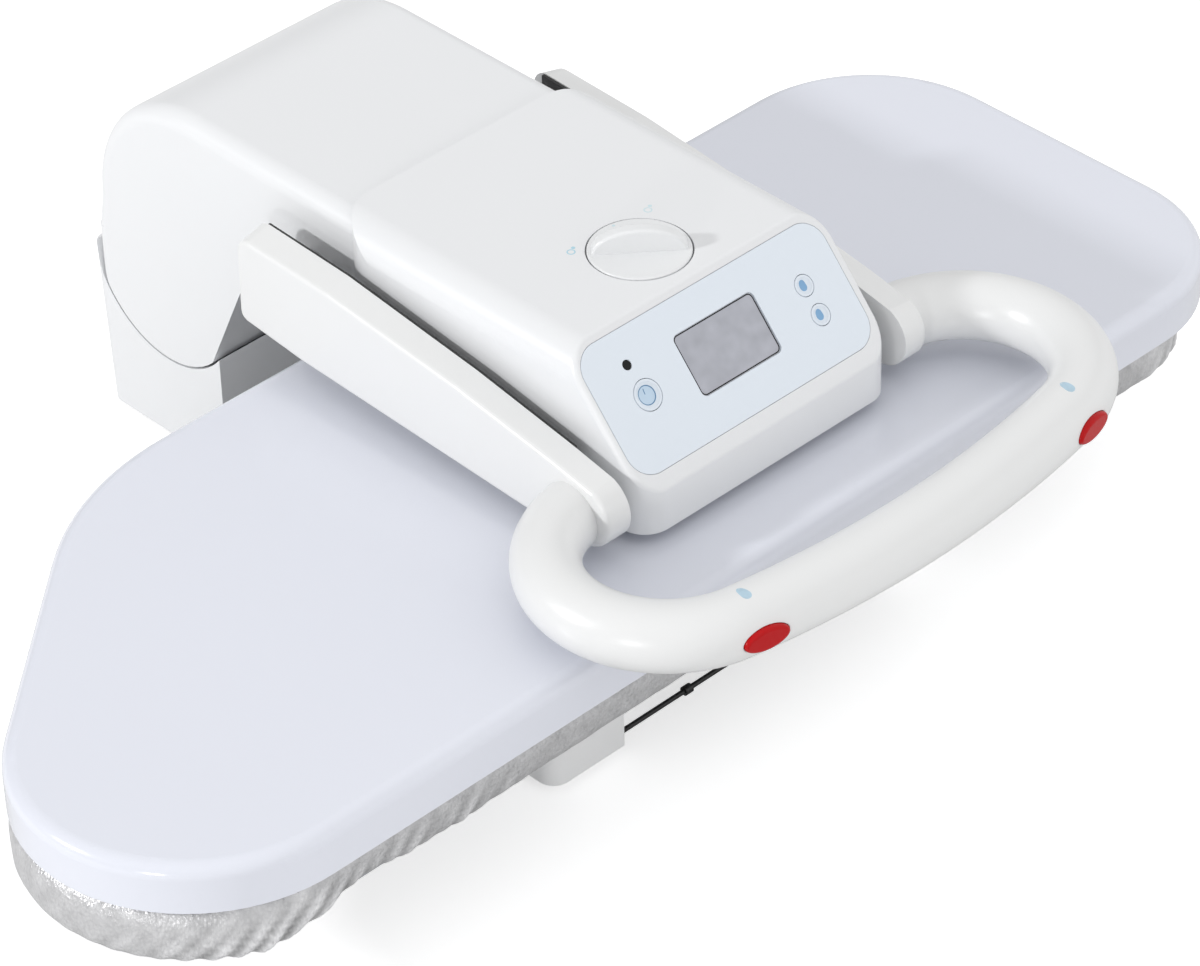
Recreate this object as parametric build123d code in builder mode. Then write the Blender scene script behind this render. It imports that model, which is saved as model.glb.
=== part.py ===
from build123d import *
import os
from math import atan2, cos, degrees, radians, sin, sqrt, tan

# Domestic steam press for ironing, closed, standing on a table.
# X runs along the pressing board with its nose at -X, Y runs from the handle (-Y) to the back
# of the housing, Z is up and the table top is Z = 0. All sizes are in millimetres.

os.makedirs("parts", exist_ok=True)

# Pressing outline, shared by the cover, the heating plate and the board
plate_length = 696.0
plate_left_x = -350.0
plate_depth = 267.0
plate_front_y = -185.0
plate_bottom_z = 97.0
nose_angle = 41.0
nose_radius = 86.0
front_corner_radius = 70.0
rear_corner_radius = 80.0
shoulder_radius = 145.0

# Plate cover and heating plate
cover_height = 25.0
cover_wall = 2.5
cover_edge_radius = 7.0
sole_thickness = 11.0
sole_clearance = 0.7
vent_diameter = 5.0
element_diameter = 8.0
element_groove_depth = 5.0
element_clearance = 0.3

# Board under the plate
board_inset = 4.0
board_reach = 4.0
board_setback = 12.0
press_gap = 0.4
fabric_thickness = 1.2
soft_clearance = 0.3
pad_thickness = 10.0
board_height = 22.0
pan_sheet = 1.5
pan_rim_lift = 3.0
hem_width = 26.0

# Housing of the head, seen from the side
head_x = 43.0
head_half_width = 73.5
shell_wall = 3.0
hinge_y = 204.0
hinge_z = 101.5
head_top_z = 205.0
head_floor_z = 129.0
head_rear_radius = head_top_z - head_floor_z
head_rear_y = 251.0
lobe_radius = 51.0
lobe_rear_angle = 8.0
throat_angle = 225.6
throat_top_y = 138.0
head_edge_radius = 9.0
head_front_y = 30.0

# Console in front of the housing
console_half_width = 82.0
console_back_y = 62.0
console_front_y = -146.4
console_bottom_z = 128.5
console_top_z = 209.5
console_side_radius = 16.0
console_front_radius = 15.0
console_back_radius = 27.0
panel_tilt = 48.5
panel_centre_y = -118.4
panel_centre_z = console_top_z - 26.7
panel_width = 155.5
panel_height = 65.5
panel_offset = (-0.75, -1.25)
panel_corner_radius = 13.0
panel_thickness = 1.2
fit_clearance = 0.25

# Display and buttons on the panel, in the panel's own directions from its centre
window_width = 51.0
window_height = 31.0
window_corner_radius = 3.0
window_thickness = 1.6
window_sink = 0.8
sensor_place = (-54.3, 15.2)
sensor_diameter = 4.6
power_place = (-52.0, -1.2)
power_diameter = 15.0
key_places = {"key_upper": (53.5, 5.0), "key_lower": (54.0, -10.5)}
key_diameter = 10.5
button_clearance = 0.3
button_depth = 6.0
button_proud = 0.2
button_edge_radius = 0.4
dish_ratio = 0.3

# Rotary knob
knob_centre = (41.3, -63.3)
knob_diameter = 49.0
knob_top_z = console_top_z + 0.6
knob_well_depth = 4.0
knob_gap = 0.8
knob_lift = 0.5
grip_width = 6.8
grip_length = 45.0
grip_height = 12.0
grip_angle = 140.0
knob_shaft_diameter = 6.0
knob_shaft_length = 13.0
shaft_clearance = 0.05

# Arms and handle
arm_inner_x = 90.0
arm_outer_x = 104.5
arm_edge_radius = 2.5
arm_seam = 9.0
arm_bottom = ((-89.0, 131.0), (62.0, 136.0), (105.0, 140.0))
arm_nose = ((-130.0, 131.0), (-146.0, 147.5))
arm_inner_top = ((-135.0, 163.8), (-110.0, 168.6), (-47.0, 178.6), (40.0, 188.6), (104.0, 191.4))
arm_outer_top = ((-136.0, 163.2), (-110.0, 168.0), (-47.0, 177.2), (40.0, 185.4), (104.0, 187.6))
pivot_y = 82.0
pivot_z = 163.0
pivot_diameter = 10.0
pivot_collar_diameter = 22.0
pivot_depth = 10.0
pivot_clearance = 0.05
bar_radius = 565.0
bar_front_y = -241.0
corner_radius = 54.7
corner_x = 97.0
handle_z = 145.0
tube_radius = 16.4
tube_wall = 2.6
handle_seam_drop = 9.0

# Steam buttons on the front of the handle
steam_x = 103.5
steam_length = 24.0
steam_height = 12.0
steam_depth = 5.5
steam_proud = 1.6

# Base
base_rear_y = 260.0
base_rear_top_z = 95.0
base_rear_foot_y = 255.0
base_front_y = 163.0
base_bottom_z = 1.5
base_wall = 3.0
cradle_clearance = 1.2
relief_wall = 2.0
foot_pad_height = 3.0
foot_pad_diameter = 22.0
base_sheet = 2.5

# Front feet, rails and posts that carry the board
foot_inner_x = 85.0
foot_outer_x = 131.0
foot_front_y = -133.0
foot_depth = 46.0
foot_corner_radius = 9.0
foot_wall = 3.0
rail_width = 24.0
rail_height = 22.0
rail_wall = 2.0
rail_rear_y = 150.0
post_setback = 46.0
post_depth = 26.0

# Stretcher rod between the front feet
rod_diameter = 2.6
rod_y = -128.0
rod_z = 6.6
rod_collar_diameter = 4.8
rod_collar_length = 4.4
rod_collar_x = 4.2

# Hinge
ear_x = 40.0
ear_thickness = 4.0
ear_radius = 15.0
ear_foot_width = 56.0
ear_slot_clearance = 1.5
opening_angle = 32.0
shaft_diameter = 12.0
shaft_half_length = 65.0
shaft_fit = 0.03
bracket_x = 60.0
bracket_thickness = 4.0
bush_diameter = 17.0
bush_length = 8.0
bracket_radius = 19.0

plate_right_x = plate_left_x + plate_length
nose_centre_x = plate_left_x + nose_radius
plate_rear_y = plate_front_y + plate_depth
plate_top_z = plate_bottom_z + cover_height
sole_top_z = plate_bottom_z + sole_thickness
board_top_z = plate_bottom_z - press_gap
board_bottom_z = board_top_z - board_height
pad_top_z = board_top_z - fabric_thickness - soft_clearance
pan_top_z = pad_top_z - pad_thickness - soft_clearance
plate_sheet_z = foot_pad_height + base_sheet
post_y = plate_rear_y - post_setback


def board_outline(inset, reach=0, setback=0):
    """Pressing outline: straight front and back, round corners, slanted shoulder and round nose.

    The reach moves the nose outwards, the setback moves the other end inwards.
    """
    radius = nose_radius - inset
    front_y = plate_front_y + inset
    rear_y = plate_rear_y - inset
    right_x = plate_right_x - inset - setback
    tip_x = nose_centre_x - reach - radius / tan(radians(nose_angle / 2))
    shoulder_x = tip_x + (rear_y - front_y) / tan(radians(nose_angle))
    corner_radii = [
        radius,
        front_corner_radius - inset,
        rear_corner_radius - inset,
        shoulder_radius - inset,
    ]
    with BuildSketch() as outline:
        with BuildLine():
            FilletPolyline(
                (tip_x, front_y),
                (right_x, front_y),
                (right_x, rear_y),
                (shoulder_x, rear_y),
                radius=corner_radii,
                close=True,
            )
        make_face()
    return outline.sketch


def outlined_plate(outline, bottom_z, top_z, top_radius=0, bottom_radius=0):
    """Flat plate with rounded upper and lower edges."""
    with BuildPart() as plate:
        with BuildSketch(Plane.XY.offset(bottom_z)):
            add(outline)
        extrude(amount=top_z - bottom_z)
        if top_radius > 0:
            fillet(plate.faces().sort_by(Axis.Z)[-1].edges(), top_radius)
        if bottom_radius > 0:
            fillet(plate.faces().sort_by(Axis.Z)[0].edges(), bottom_radius)
    return plate.part


def press_plate(inset, *shape):
    """Plate with the outline of the plate cover, less an inset."""
    return outlined_plate(board_outline(inset), *shape)


def board_plate(inset, *shape):
    """Plate with the outline of the board, less an inset."""
    return outlined_plate(board_outline(inset, board_reach, board_setback), *shape)


# Plate cover: white moulded tray over the heating plate, open below
hanger_side = 48.0
hanger_front_y = -95.0
hanger_rear_y = 20.0
hanger_places = [
    (head_x + x, y)
    for x in (-hanger_side, hanger_side)
    for y in (hanger_front_y, hanger_rear_y)
]
hanger_diameter = 14.0
hanger_clearance = 0.5
with BuildPart() as plate_cover:
    pocket_radius = cover_edge_radius - cover_wall
    add(press_plate(0, plate_bottom_z, plate_top_z, cover_edge_radius))
    add(
        press_plate(cover_wall, plate_bottom_z, plate_top_z - cover_wall, pocket_radius),
        mode=Mode.SUBTRACT,
    )
    with Locations(*[(x, y, plate_top_z) for x, y in hanger_places]):
        Hole(hanger_diameter / 2 + hanger_clearance)


# Heating element: one bent tube round the plate, its ends turned up towards the console
element_z = sole_top_z - element_groove_depth + element_diameter / 2
element_end_z = plate_top_z - cover_wall - 2.0
element_route = (
    (24.0, 40.0, element_end_z),
    (24.0, 40.0, element_z),
    (-120.0, 40.0, element_z),
    (-262.0, -80.0, element_z),
    (-262.0, -140.0, element_z),
    (300.0, -140.0, element_z),
    (300.0, 40.0, element_z),
    (62.0, 40.0, element_z),
    (62.0, 40.0, element_end_z),
)
element_bends = [4.5, 80.0, 24.0, 24.0, 45.0, 45.0, 4.5]


def element_path():
    """Middle line of the heating element."""
    with BuildLine() as path:
        FilletPolyline(*element_route, radius=element_bends)
    return path.line


def element_tube(diameter):
    """Round tube along the route of the heating element."""
    with BuildPart() as tube:
        path = element_path()
        with BuildSketch(Plane(origin=path @ 0, z_dir=path % 0)):
            Circle(diameter / 2)
        sweep(path=path)
    return tube.part


with BuildPart() as heating_element:
    add(element_tube(element_diameter))

# Heating plate: aluminium casting with a groove for the element and steam vents through it
sole_inset = cover_wall + sole_clearance
vent_pitch = 45.0
with BuildPart() as heating_plate:
    add(press_plate(sole_inset, plate_bottom_z, sole_top_z))
    add(element_tube(element_diameter + 2 * element_clearance), mode=Mode.SUBTRACT)
    vent_centre_y = plate_front_y + plate_depth / 2
    with Locations((head_x + 20.0, vent_centre_y, sole_top_z)):
        with GridLocations(vent_pitch, vent_pitch, 9, 3):
            Hole(vent_diameter / 2)


# Hangers: four posts that carry the heating plate under the chassis
chassis_bottom_z = head_floor_z + 6.0
chassis_sheet = 3.0
with BuildPart() as plate_hangers:
    with BuildSketch(Plane.XY.offset(sole_top_z)):
        with Locations(*hanger_places):
            Circle(hanger_diameter / 2)
    extrude(amount=chassis_bottom_z - sole_top_z)

# Thermostat on top of the heating plate
thermostat_place = (head_x, -40.0)
thermostat_foot = (22.0, 5.0)
thermostat_cap = (16.0, 4.0)
with BuildPart() as thermostat:
    with BuildSketch(Plane.XY.offset(sole_top_z)):
        with Locations(thermostat_place):
            Circle(thermostat_foot[0] / 2)
    extrude(amount=thermostat_foot[1])
    with BuildSketch(Plane.XY.offset(sole_top_z + thermostat_foot[1])):
        with Locations(thermostat_place):
            Circle(thermostat_cap[0] / 2)
    extrude(amount=thermostat_cap[1])

# Board: pressed pan with its rim turned down, foam pad and silver fabric cover
pan_inset = board_inset + fabric_thickness + soft_clearance
pan_bottom_z = board_bottom_z + fabric_thickness + pan_rim_lift
pan_edge_radius = 3.0
pan_hole_diameter = 10.0
pan_hole_pitch = (58.0, 60.0)
with BuildPart() as board_pan:
    add(board_plate(pan_inset, pan_bottom_z, pan_top_z, pan_edge_radius))
    add(board_plate(pan_inset + pan_sheet, pan_bottom_z, pan_top_z - pan_sheet), mode=Mode.SUBTRACT)
    with Locations((0, plate_front_y + plate_depth / 2, pan_top_z)):
        with GridLocations(*pan_hole_pitch, 9, 3):
            Hole(pan_hole_diameter / 2)

pad_edge_radius = 7.0
with BuildPart() as board_pad:
    add(board_plate(pan_inset, pan_top_z + soft_clearance, pad_top_z, pad_edge_radius))

fabric_inner_inset = board_inset + fabric_thickness
fabric_top_radius = 8.5
fabric_bottom_radius = 5.0
with BuildPart() as board_cover:
    add(
        board_plate(
            board_inset,
            board_bottom_z,
            board_top_z,
            fabric_top_radius,
            fabric_bottom_radius,
        )
    )
    add(
        board_plate(
            fabric_inner_inset,
            board_bottom_z + fabric_thickness,
            board_top_z - fabric_thickness,
            fabric_top_radius - fabric_thickness,
            fabric_bottom_radius - fabric_thickness,
        ),
        mode=Mode.SUBTRACT,
    )
    with BuildSketch(Plane.XY.offset(board_bottom_z)):
        add(board_outline(board_inset + hem_width, board_reach, board_setback))
    extrude(amount=fabric_thickness, mode=Mode.SUBTRACT)


def side_plane(offset_x):
    """Plane across the press: its own directions are Y and Z, its normal is +X."""
    return Plane.YZ.offset(head_x + offset_x)


def about_hinge(radius, angle):
    """Point at a radius and an angle round the hinge, in the side plane."""
    return (hinge_y + radius * cos(radians(angle)), hinge_z + radius * sin(radians(angle)))


def throat_point(height, inset):
    """Point on the slanted front of the lobe, at a height."""
    foot = about_hinge(lobe_radius - inset, throat_angle)
    top = (throat_top_y + inset, head_floor_z + inset)
    share = (height - foot[1]) / (top[1] - foot[1])
    return (foot[0] + share * (top[0] - foot[0]), height)


def head_roof(inset, front_y):
    """Upper housing: flat top and quarter-round back, with rounded side edges."""
    half_width = head_half_width - inset
    top_z = head_top_z - inset
    floor_z = head_floor_z + inset
    radius = head_rear_radius - inset
    centre = (head_rear_y - head_rear_radius, head_top_z - head_rear_radius)
    rear_top = (centre[0], top_z)
    rear_middle = (centre[0] + radius * sqrt(0.5), centre[1] + radius * sqrt(0.5))
    rear_side = (centre[0] + radius, centre[1])
    lobe_start = about_hinge(lobe_radius - inset, lobe_rear_angle)
    with BuildPart() as roof:
        with BuildSketch(side_plane(-half_width)):
            with BuildLine():
                Line((front_y, top_z), rear_top)
                ThreePointArc(rear_top, rear_middle, rear_side)
                Polyline(
                    rear_side,
                    lobe_start,
                    throat_point(lobe_start[1], inset),
                    (throat_top_y + inset, floor_z),
                    (front_y, floor_z),
                    (front_y, top_z),
                )
            make_face()
        extrude(amount=2 * half_width)
        side_edges = roof.faces().filter_by(Axis.X).edges()
        fillet(
            side_edges.filter_by(lambda edge: is_roof_edge(edge.center(), front_y)),
            head_edge_radius - inset,
        )
    return roof.part


def is_roof_edge(middle, front_y):
    """Side edge along the top, round the back and down to the lobe, by its middle point."""
    upper = middle.Z > head_floor_z + shell_wall + 1
    behind = middle.Y > head_rear_y - shell_wall - 1
    return middle.Y > front_y + 1 and (upper or behind)


def head_lobe(inset):
    """Round lobe about the hinge, under the upper housing, with rounded rear corners."""
    half_width = head_half_width - inset
    radius = lobe_radius - inset
    lobe_start = about_hinge(radius, lobe_rear_angle)
    throat_top = throat_point(lobe_start[1], inset)
    corner = head_edge_radius - inset
    with BuildPart() as lobe:
        with BuildSketch(side_plane(-half_width)):
            with BuildLine():
                ThreePointArc(
                    lobe_start,
                    about_hinge(radius, -90.0),
                    about_hinge(radius, throat_angle),
                )
                Polyline(about_hinge(radius, throat_angle), throat_top, lobe_start)
            make_face()
        extrude(amount=2 * half_width)
        with BuildSketch(Plane.XY.offset(hinge_z - radius)):
            with BuildLine():
                FilletPolyline(
                    (head_x - half_width, throat_top_y),
                    (head_x + half_width, throat_top_y),
                    (head_x + half_width, hinge_y + radius),
                    (head_x - half_width, hinge_y + radius),
                    radius=[0, 0, corner, corner],
                    close=True,
                )
            make_face()
        extrude(amount=2 * radius, mode=Mode.INTERSECT)
    return lobe.part


ear_half_angle = degrees(atan2(ear_foot_width / 2, lobe_radius)) + 4.0
# Head housing: rear shell with the round hinge lobe below, open towards the console
with BuildPart() as head_shell:
    add(head_roof(0, head_front_y))
    add(head_lobe(0))
    add(head_roof(shell_wall, head_front_y - 1), mode=Mode.SUBTRACT)
    add(head_lobe(shell_wall), mode=Mode.SUBTRACT)
    for ear in (-ear_x, ear_x):
        with BuildSketch(side_plane(ear - ear_thickness / 2 - ear_slot_clearance)):
            with BuildLine():
                slot_arc = CenterArc(
                    (hinge_y, hinge_z),
                    lobe_radius + 2,
                    -90.0 - ear_half_angle,
                    opening_angle + 2 * ear_half_angle,
                )
                Polyline(slot_arc @ 1, (hinge_y, hinge_z), slot_arc @ 0)
            make_face()
        extrude(amount=ear_thickness + 2 * ear_slot_clearance, mode=Mode.SUBTRACT)


# Slanted plane of the panel: X across the press, Y up the slope, origin in the panel's middle
panel_plane = Plane(
    origin=(head_x, panel_centre_y, panel_centre_z),
    x_dir=(1, 0, 0),
    z_dir=(0, -sin(radians(panel_tilt)), cos(radians(panel_tilt))),
)


def console_block(inset, bottom_z):
    """Console block: round corners in plan, round upper side edges, slanted face for the panel."""
    left_x = head_x - console_half_width + inset
    right_x = head_x + console_half_width - inset
    front_y = console_front_y + inset
    back_y = console_back_y - inset
    top_z = console_top_z - inset
    side_radius = console_side_radius - inset
    front_radius = console_front_radius - inset
    back_radius = console_back_radius - inset
    with BuildPart() as block:
        with BuildSketch(Plane.XZ.offset(-back_y)):
            with BuildLine():
                FilletPolyline(
                    (left_x, bottom_z),
                    (right_x, bottom_z),
                    (right_x, top_z),
                    (left_x, top_z),
                    radius=[0, 0, side_radius, side_radius],
                    close=True,
                )
            make_face()
        extrude(amount=back_y - front_y)
        with BuildSketch(Plane.XY.offset(bottom_z)):
            with BuildLine():
                FilletPolyline(
                    (left_x, front_y),
                    (right_x, front_y),
                    (right_x, back_y),
                    (left_x, back_y),
                    radius=[front_radius, front_radius, back_radius, back_radius],
                    close=True,
                )
            make_face()
        extrude(amount=top_z - bottom_z, mode=Mode.INTERSECT)
        split(bisect_by=panel_plane.offset(-inset), keep=Keep.BOTTOM)
    return block.part


# Console: front housing over the plate, with the seat of the panel and the well of the knob
knob_well_diameter = knob_diameter + 2 * knob_gap
knob_well_z = console_top_z - knob_well_depth
panel_holes = [(power_place, power_diameter)] + [(place, key_diameter) for place in key_places.values()]
with BuildPart() as console_shell:
    add(console_block(0, console_bottom_z))
    slanted = console_shell.faces().sort_by_distance(panel_plane.origin)[0]
    fillet(slanted.edges(), 3.0)
    add(console_block(shell_wall, console_bottom_z - 1), mode=Mode.SUBTRACT)
    with BuildSketch(Plane.XY.offset(console_top_z - 1)):
        with Locations(knob_centre):
            Circle(knob_well_diameter / 2 + 2.5)
    extrude(amount=-knob_well_depth - 1.5)
    with BuildSketch(Plane.XY.offset(console_top_z)):
        with Locations(knob_centre):
            Circle(knob_well_diameter / 2)
    extrude(amount=-knob_well_depth, mode=Mode.SUBTRACT)
    with BuildSketch(Plane.XY.offset(console_top_z)):
        with Locations(knob_centre):
            Circle(knob_shaft_diameter / 2 + 1.0)
    extrude(amount=-knob_well_depth - shell_wall, mode=Mode.SUBTRACT)
    with BuildSketch(panel_plane.offset(-panel_thickness)):
        with Locations(panel_offset):
            RectangleRounded(
                panel_width + 2 * fit_clearance,
                panel_height + 2 * fit_clearance,
                panel_corner_radius + fit_clearance,
            )
    extrude(amount=panel_thickness + 5, mode=Mode.SUBTRACT)
    with BuildSketch(panel_plane.offset(-panel_thickness)):
        Rectangle(window_width - 4, window_height - 4)
        with Locations(sensor_place):
            Circle(sensor_diameter / 2 - 0.5)
        for place, diameter in panel_holes:
            with Locations(place):
                Circle(diameter / 2 + button_clearance)
    extrude(amount=-shell_wall, mode=Mode.SUBTRACT)
    with BuildSketch(Plane.XZ.offset(-console_back_y)):
        with Locations((head_x, (head_top_z + console_bottom_z) / 2)):
            Rectangle(
                2 * (head_half_width + fit_clearance),
                head_top_z - console_bottom_z + 2 * fit_clearance,
            )
    extrude(amount=console_back_y - head_front_y, mode=Mode.SUBTRACT)

# Floor of the console, between its walls, with holes for the hangers and the heater's ends
with BuildPart() as console_floor:
    add(console_block(shell_wall + fit_clearance, console_bottom_z - 1))
    keep_front = Plane.XZ.offset(-(head_front_y - 0.5))
    split(bisect_by=keep_front, keep=Keep.TOP)
    split(bisect_by=Plane.XY.offset(console_bottom_z), keep=Keep.TOP)
    split(bisect_by=Plane.XY.offset(console_bottom_z + 2.5), keep=Keep.BOTTOM)
    with Locations(*[(x, y, console_bottom_z + 2.5) for x, y in hanger_places]):
        Hole(hanger_diameter / 2 + hanger_clearance)

# Chassis: steel plate that joins the console to the hinge brackets
chassis_front_y = console_front_y + 34.0
chassis_rear_y = 120.0
chassis_half_width = bracket_x - bracket_thickness / 2
chassis_middle_y = (chassis_front_y + chassis_rear_y) / 2
chassis_window = (60.0, 46.0, 8.0)
chassis_window_pitch = 62.0
with BuildPart() as head_chassis:
    with BuildSketch(Plane.XY.offset(chassis_bottom_z)):
        with Locations((head_x, chassis_middle_y)):
            RectangleRounded(2 * chassis_half_width, chassis_rear_y - chassis_front_y, 6.0)
            with GridLocations(0, chassis_window_pitch, 1, 3):
                RectangleRounded(*chassis_window, mode=Mode.SUBTRACT)
    extrude(amount=chassis_sheet)

# Hinge brackets: steel side plates of the head, each with a brass bush on the shaft
bracket_front_y = -60.0
bracket_beam_height = 26.0
bracket_pivot_height = 41.0
bracket_outline = (
    (bracket_front_y, chassis_bottom_z),
    (hinge_y - 34.0, chassis_bottom_z),
    (hinge_y - bracket_radius, hinge_z),
    (hinge_y + bracket_radius, hinge_z),
    (hinge_y + bracket_radius, hinge_z + bracket_radius),
    (hinge_y - 6.0, chassis_bottom_z + 15.0),
    (pivot_y + 28.0, chassis_bottom_z + bracket_pivot_height),
    (pivot_y - 22.0, chassis_bottom_z + bracket_pivot_height),
    (pivot_y - 42.0, chassis_bottom_z + bracket_beam_height),
    (bracket_front_y, chassis_bottom_z + bracket_beam_height),
)


def hinge_bracket(side):
    """Steel plate beside the chassis, with the holes of its bush and of the arm's pivot pin."""
    with BuildPart() as bracket:
        with BuildSketch(side_plane(side * bracket_x - bracket_thickness / 2)):
            with BuildLine():
                Polyline(*bracket_outline, close=True)
            make_face()
            with Locations((hinge_y, hinge_z)):
                Circle(bracket_radius)
                Circle(bush_diameter / 2, mode=Mode.SUBTRACT)
            with Locations((pivot_y, pivot_z)):
                Circle(pivot_diameter / 2, mode=Mode.SUBTRACT)
        extrude(amount=bracket_thickness)
    return bracket


def hinge_bush(side):
    """Plain round bush that turns on the hinge shaft."""
    middle = side * bracket_x
    with BuildPart() as bush:
        with BuildSketch(side_plane(middle - bush_length / 2)):
            with Locations((hinge_y, hinge_z)):
                Circle(bush_diameter / 2)
                Circle(shaft_diameter / 2 + shaft_fit, mode=Mode.SUBTRACT)
        extrude(amount=bush_length)
    return bush


head_bracket_left = hinge_bracket(-1)
head_bracket_right = hinge_bracket(1)
hinge_bush_left = hinge_bush(-1)
hinge_bush_right = hinge_bush(1)

# Hinge shaft through the ears and the bushes
with BuildPart() as hinge_shaft:
    with BuildSketch(side_plane(-shaft_half_length)):
        with Locations((hinge_y, hinge_z)):
            Circle(shaft_diameter / 2)
    extrude(amount=2 * shaft_half_length)
    chamfer(hinge_shaft.faces().filter_by(Axis.X).edges(), 1.0)

# Water tank inside the housing, with its neck through the right side and a screw cap
tank_half_width = bracket_x - bracket_thickness / 2 - 2.0
tank_bottom_z = chassis_bottom_z + chassis_sheet
tank_top_z = head_top_z - shell_wall - 3.0
tank_front_y = 66.0
tank_rear_y = 190.0
neck_diameter = 20.0
neck_y = 142.0
neck_z = tank_top_z - 20.5
tank_middle_y = (tank_front_y + tank_rear_y) / 2
with BuildPart() as water_tank:
    with BuildSketch(Plane.XY.offset(tank_bottom_z)):
        with Locations((head_x, tank_middle_y)):
            RectangleRounded(2 * tank_half_width, tank_rear_y - tank_front_y, 14.0)
    extrude(amount=tank_top_z - tank_bottom_z)
    fillet(water_tank.faces().sort_by(Axis.Z)[-1].edges(), 6.0)
    with BuildSketch(side_plane(tank_half_width - 1)):
        with Locations((neck_y, neck_z)):
            Circle(neck_diameter / 2)
    extrude(amount=head_half_width - tank_half_width)

cap_diameter = 30.0
cap_thickness = 5.0
with BuildPart() as tank_cap:
    with BuildSketch(side_plane(head_half_width)):
        with Locations((neck_y, neck_z)):
            Circle(cap_diameter / 2)
    extrude(amount=cap_thickness)
    fillet(tank_cap.faces().sort_by(Axis.X)[-1].edges(), 1.5)
    with BuildSketch(side_plane(head_half_width + cap_thickness - 1.5)):
        with Locations((neck_y, neck_z)):
            Circle(cap_diameter / 2 - 4)
            Rectangle(5.0, cap_diameter, mode=Mode.SUBTRACT)
    extrude(amount=cap_thickness, mode=Mode.SUBTRACT)

with BuildPart(mode=Mode.PRIVATE) as neck_hole:
    with BuildSketch(side_plane(head_half_width - shell_wall - 1)):
        with Locations((neck_y, neck_z)):
            Circle(neck_diameter / 2 + fit_clearance)
    extrude(amount=shell_wall + 2)
head_shell.part -= neck_hole.part

# Pump and steam tube from the tank to the heating plate
pump_z = chassis_bottom_z + chassis_sheet
pump_place = (head_x + 44.0, 44.0)
pump_width = 26.0
pump_depth = 40.0
pump_height = 24.0
pump_motor = (16.0, 16.0)
with BuildPart() as water_pump:
    with BuildSketch(Plane.XY.offset(pump_z)):
        with Locations(pump_place):
            RectangleRounded(pump_width, pump_depth, 4.0)
    extrude(amount=pump_height)
    with BuildSketch(Plane.XY.offset(pump_z + pump_height)):
        with Locations((pump_place[0], pump_place[1] - 8.0)):
            Circle(pump_motor[0] / 2)
    extrude(amount=pump_motor[1])

steam_tube_diameter = 5.0
steam_level_z = pump_z + 10.0
steam_drop = (head_x, -6.0)
steam_route = (
    (pump_place[0] - pump_width / 2, pump_place[1], steam_level_z),
    (head_x, pump_place[1], steam_level_z),
    (*steam_drop, steam_level_z),
    (*steam_drop, sole_top_z),
)
with BuildPart() as steam_tube:
    with BuildLine() as steam_line:
        FilletPolyline(*steam_route, radius=10.0)
    with BuildSketch(Plane(origin=steam_line.line @ 0, z_dir=steam_line.line % 0)):
        Circle(steam_tube_diameter / 2)
    sweep(path=steam_line.line)

with BuildPart(mode=Mode.PRIVATE) as steam_hole:
    with BuildSketch(Plane.XY.offset(plate_top_z - cover_wall - 1)):
        with Locations(steam_drop):
            Circle(steam_tube_diameter / 2 + 1)
    extrude(amount=cover_wall + 2)
    with BuildSketch(Plane.XY.offset(console_bottom_z - 1)):
        with Locations(steam_drop):
            Circle(steam_tube_diameter / 2 + 1)
    extrude(amount=5.0)
plate_cover.part -= steam_hole.part
console_floor.part -= steam_hole.part

# Control panel with its window, sensor hole and button holes
with BuildPart() as control_panel:
    with BuildSketch(panel_plane.offset(-panel_thickness)):
        with Locations(panel_offset):
            RectangleRounded(panel_width, panel_height, panel_corner_radius)
        RectangleRounded(
            window_width + 2 * fit_clearance,
            window_height + 2 * fit_clearance,
            window_corner_radius,
            mode=Mode.SUBTRACT,
        )
        with Locations(sensor_place):
            Circle(sensor_diameter / 2 + fit_clearance, mode=Mode.SUBTRACT)
        for place, diameter in panel_holes:
            with Locations(place):
                Circle(diameter / 2 + button_clearance, mode=Mode.SUBTRACT)
    extrude(amount=panel_thickness)

with BuildPart() as display_window:
    with BuildSketch(panel_plane.offset(-panel_thickness)):
        RectangleRounded(window_width, window_height, window_corner_radius)
    extrude(amount=panel_thickness - window_sink)

with BuildPart() as sensor_lens:
    with BuildSketch(panel_plane.offset(-panel_thickness)):
        with Locations(sensor_place):
            Circle(sensor_diameter / 2)
    extrude(amount=panel_thickness - 0.3)

module_depth = 7.0
with BuildPart() as display_module:
    with BuildSketch(panel_plane.offset(-shell_wall)):
        Rectangle(window_width + 10, window_height + 10)
    extrude(amount=-module_depth)

circuit_thickness = 1.6
circuit_width = panel_width - 24.5
circuit_height = panel_height - 17.5
with BuildPart() as circuit_board:
    with BuildSketch(panel_plane.offset(-shell_wall - module_depth)):
        Rectangle(circuit_width, circuit_height)
    extrude(amount=-circuit_thickness)
    with BuildSketch(panel_plane.offset(-shell_wall - module_depth - circuit_thickness)):
        with GridLocations(36.0, 22.0, 3, 2):
            Rectangle(12.0, 10.0)
    extrude(amount=-3.0)


def round_button(place, diameter):
    """Round push button through the panel, with a dished face."""
    with BuildPart() as button:
        with BuildSketch(panel_plane.offset(button_proud)):
            with Locations(place):
                Circle(diameter / 2)
        extrude(amount=-button_depth)
        face_middle = panel_plane.from_local_coords((*place, button_proud))
        rim = button.edges().filter_by(GeomType.CIRCLE).sort_by_distance(face_middle)[0]
        fillet(rim, button_edge_radius)
        dish_depth = dish_ratio * diameter / 2
        dish_radius = ((diameter / 2 - 1) ** 2 + dish_depth**2) / (2 * dish_depth)
        dish_centre = panel_plane.from_local_coords(
            (*place, button_proud - dish_depth + dish_radius)
        )
        with Locations(Pos(dish_centre)):
            Sphere(dish_radius, mode=Mode.SUBTRACT)
    return button


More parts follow.
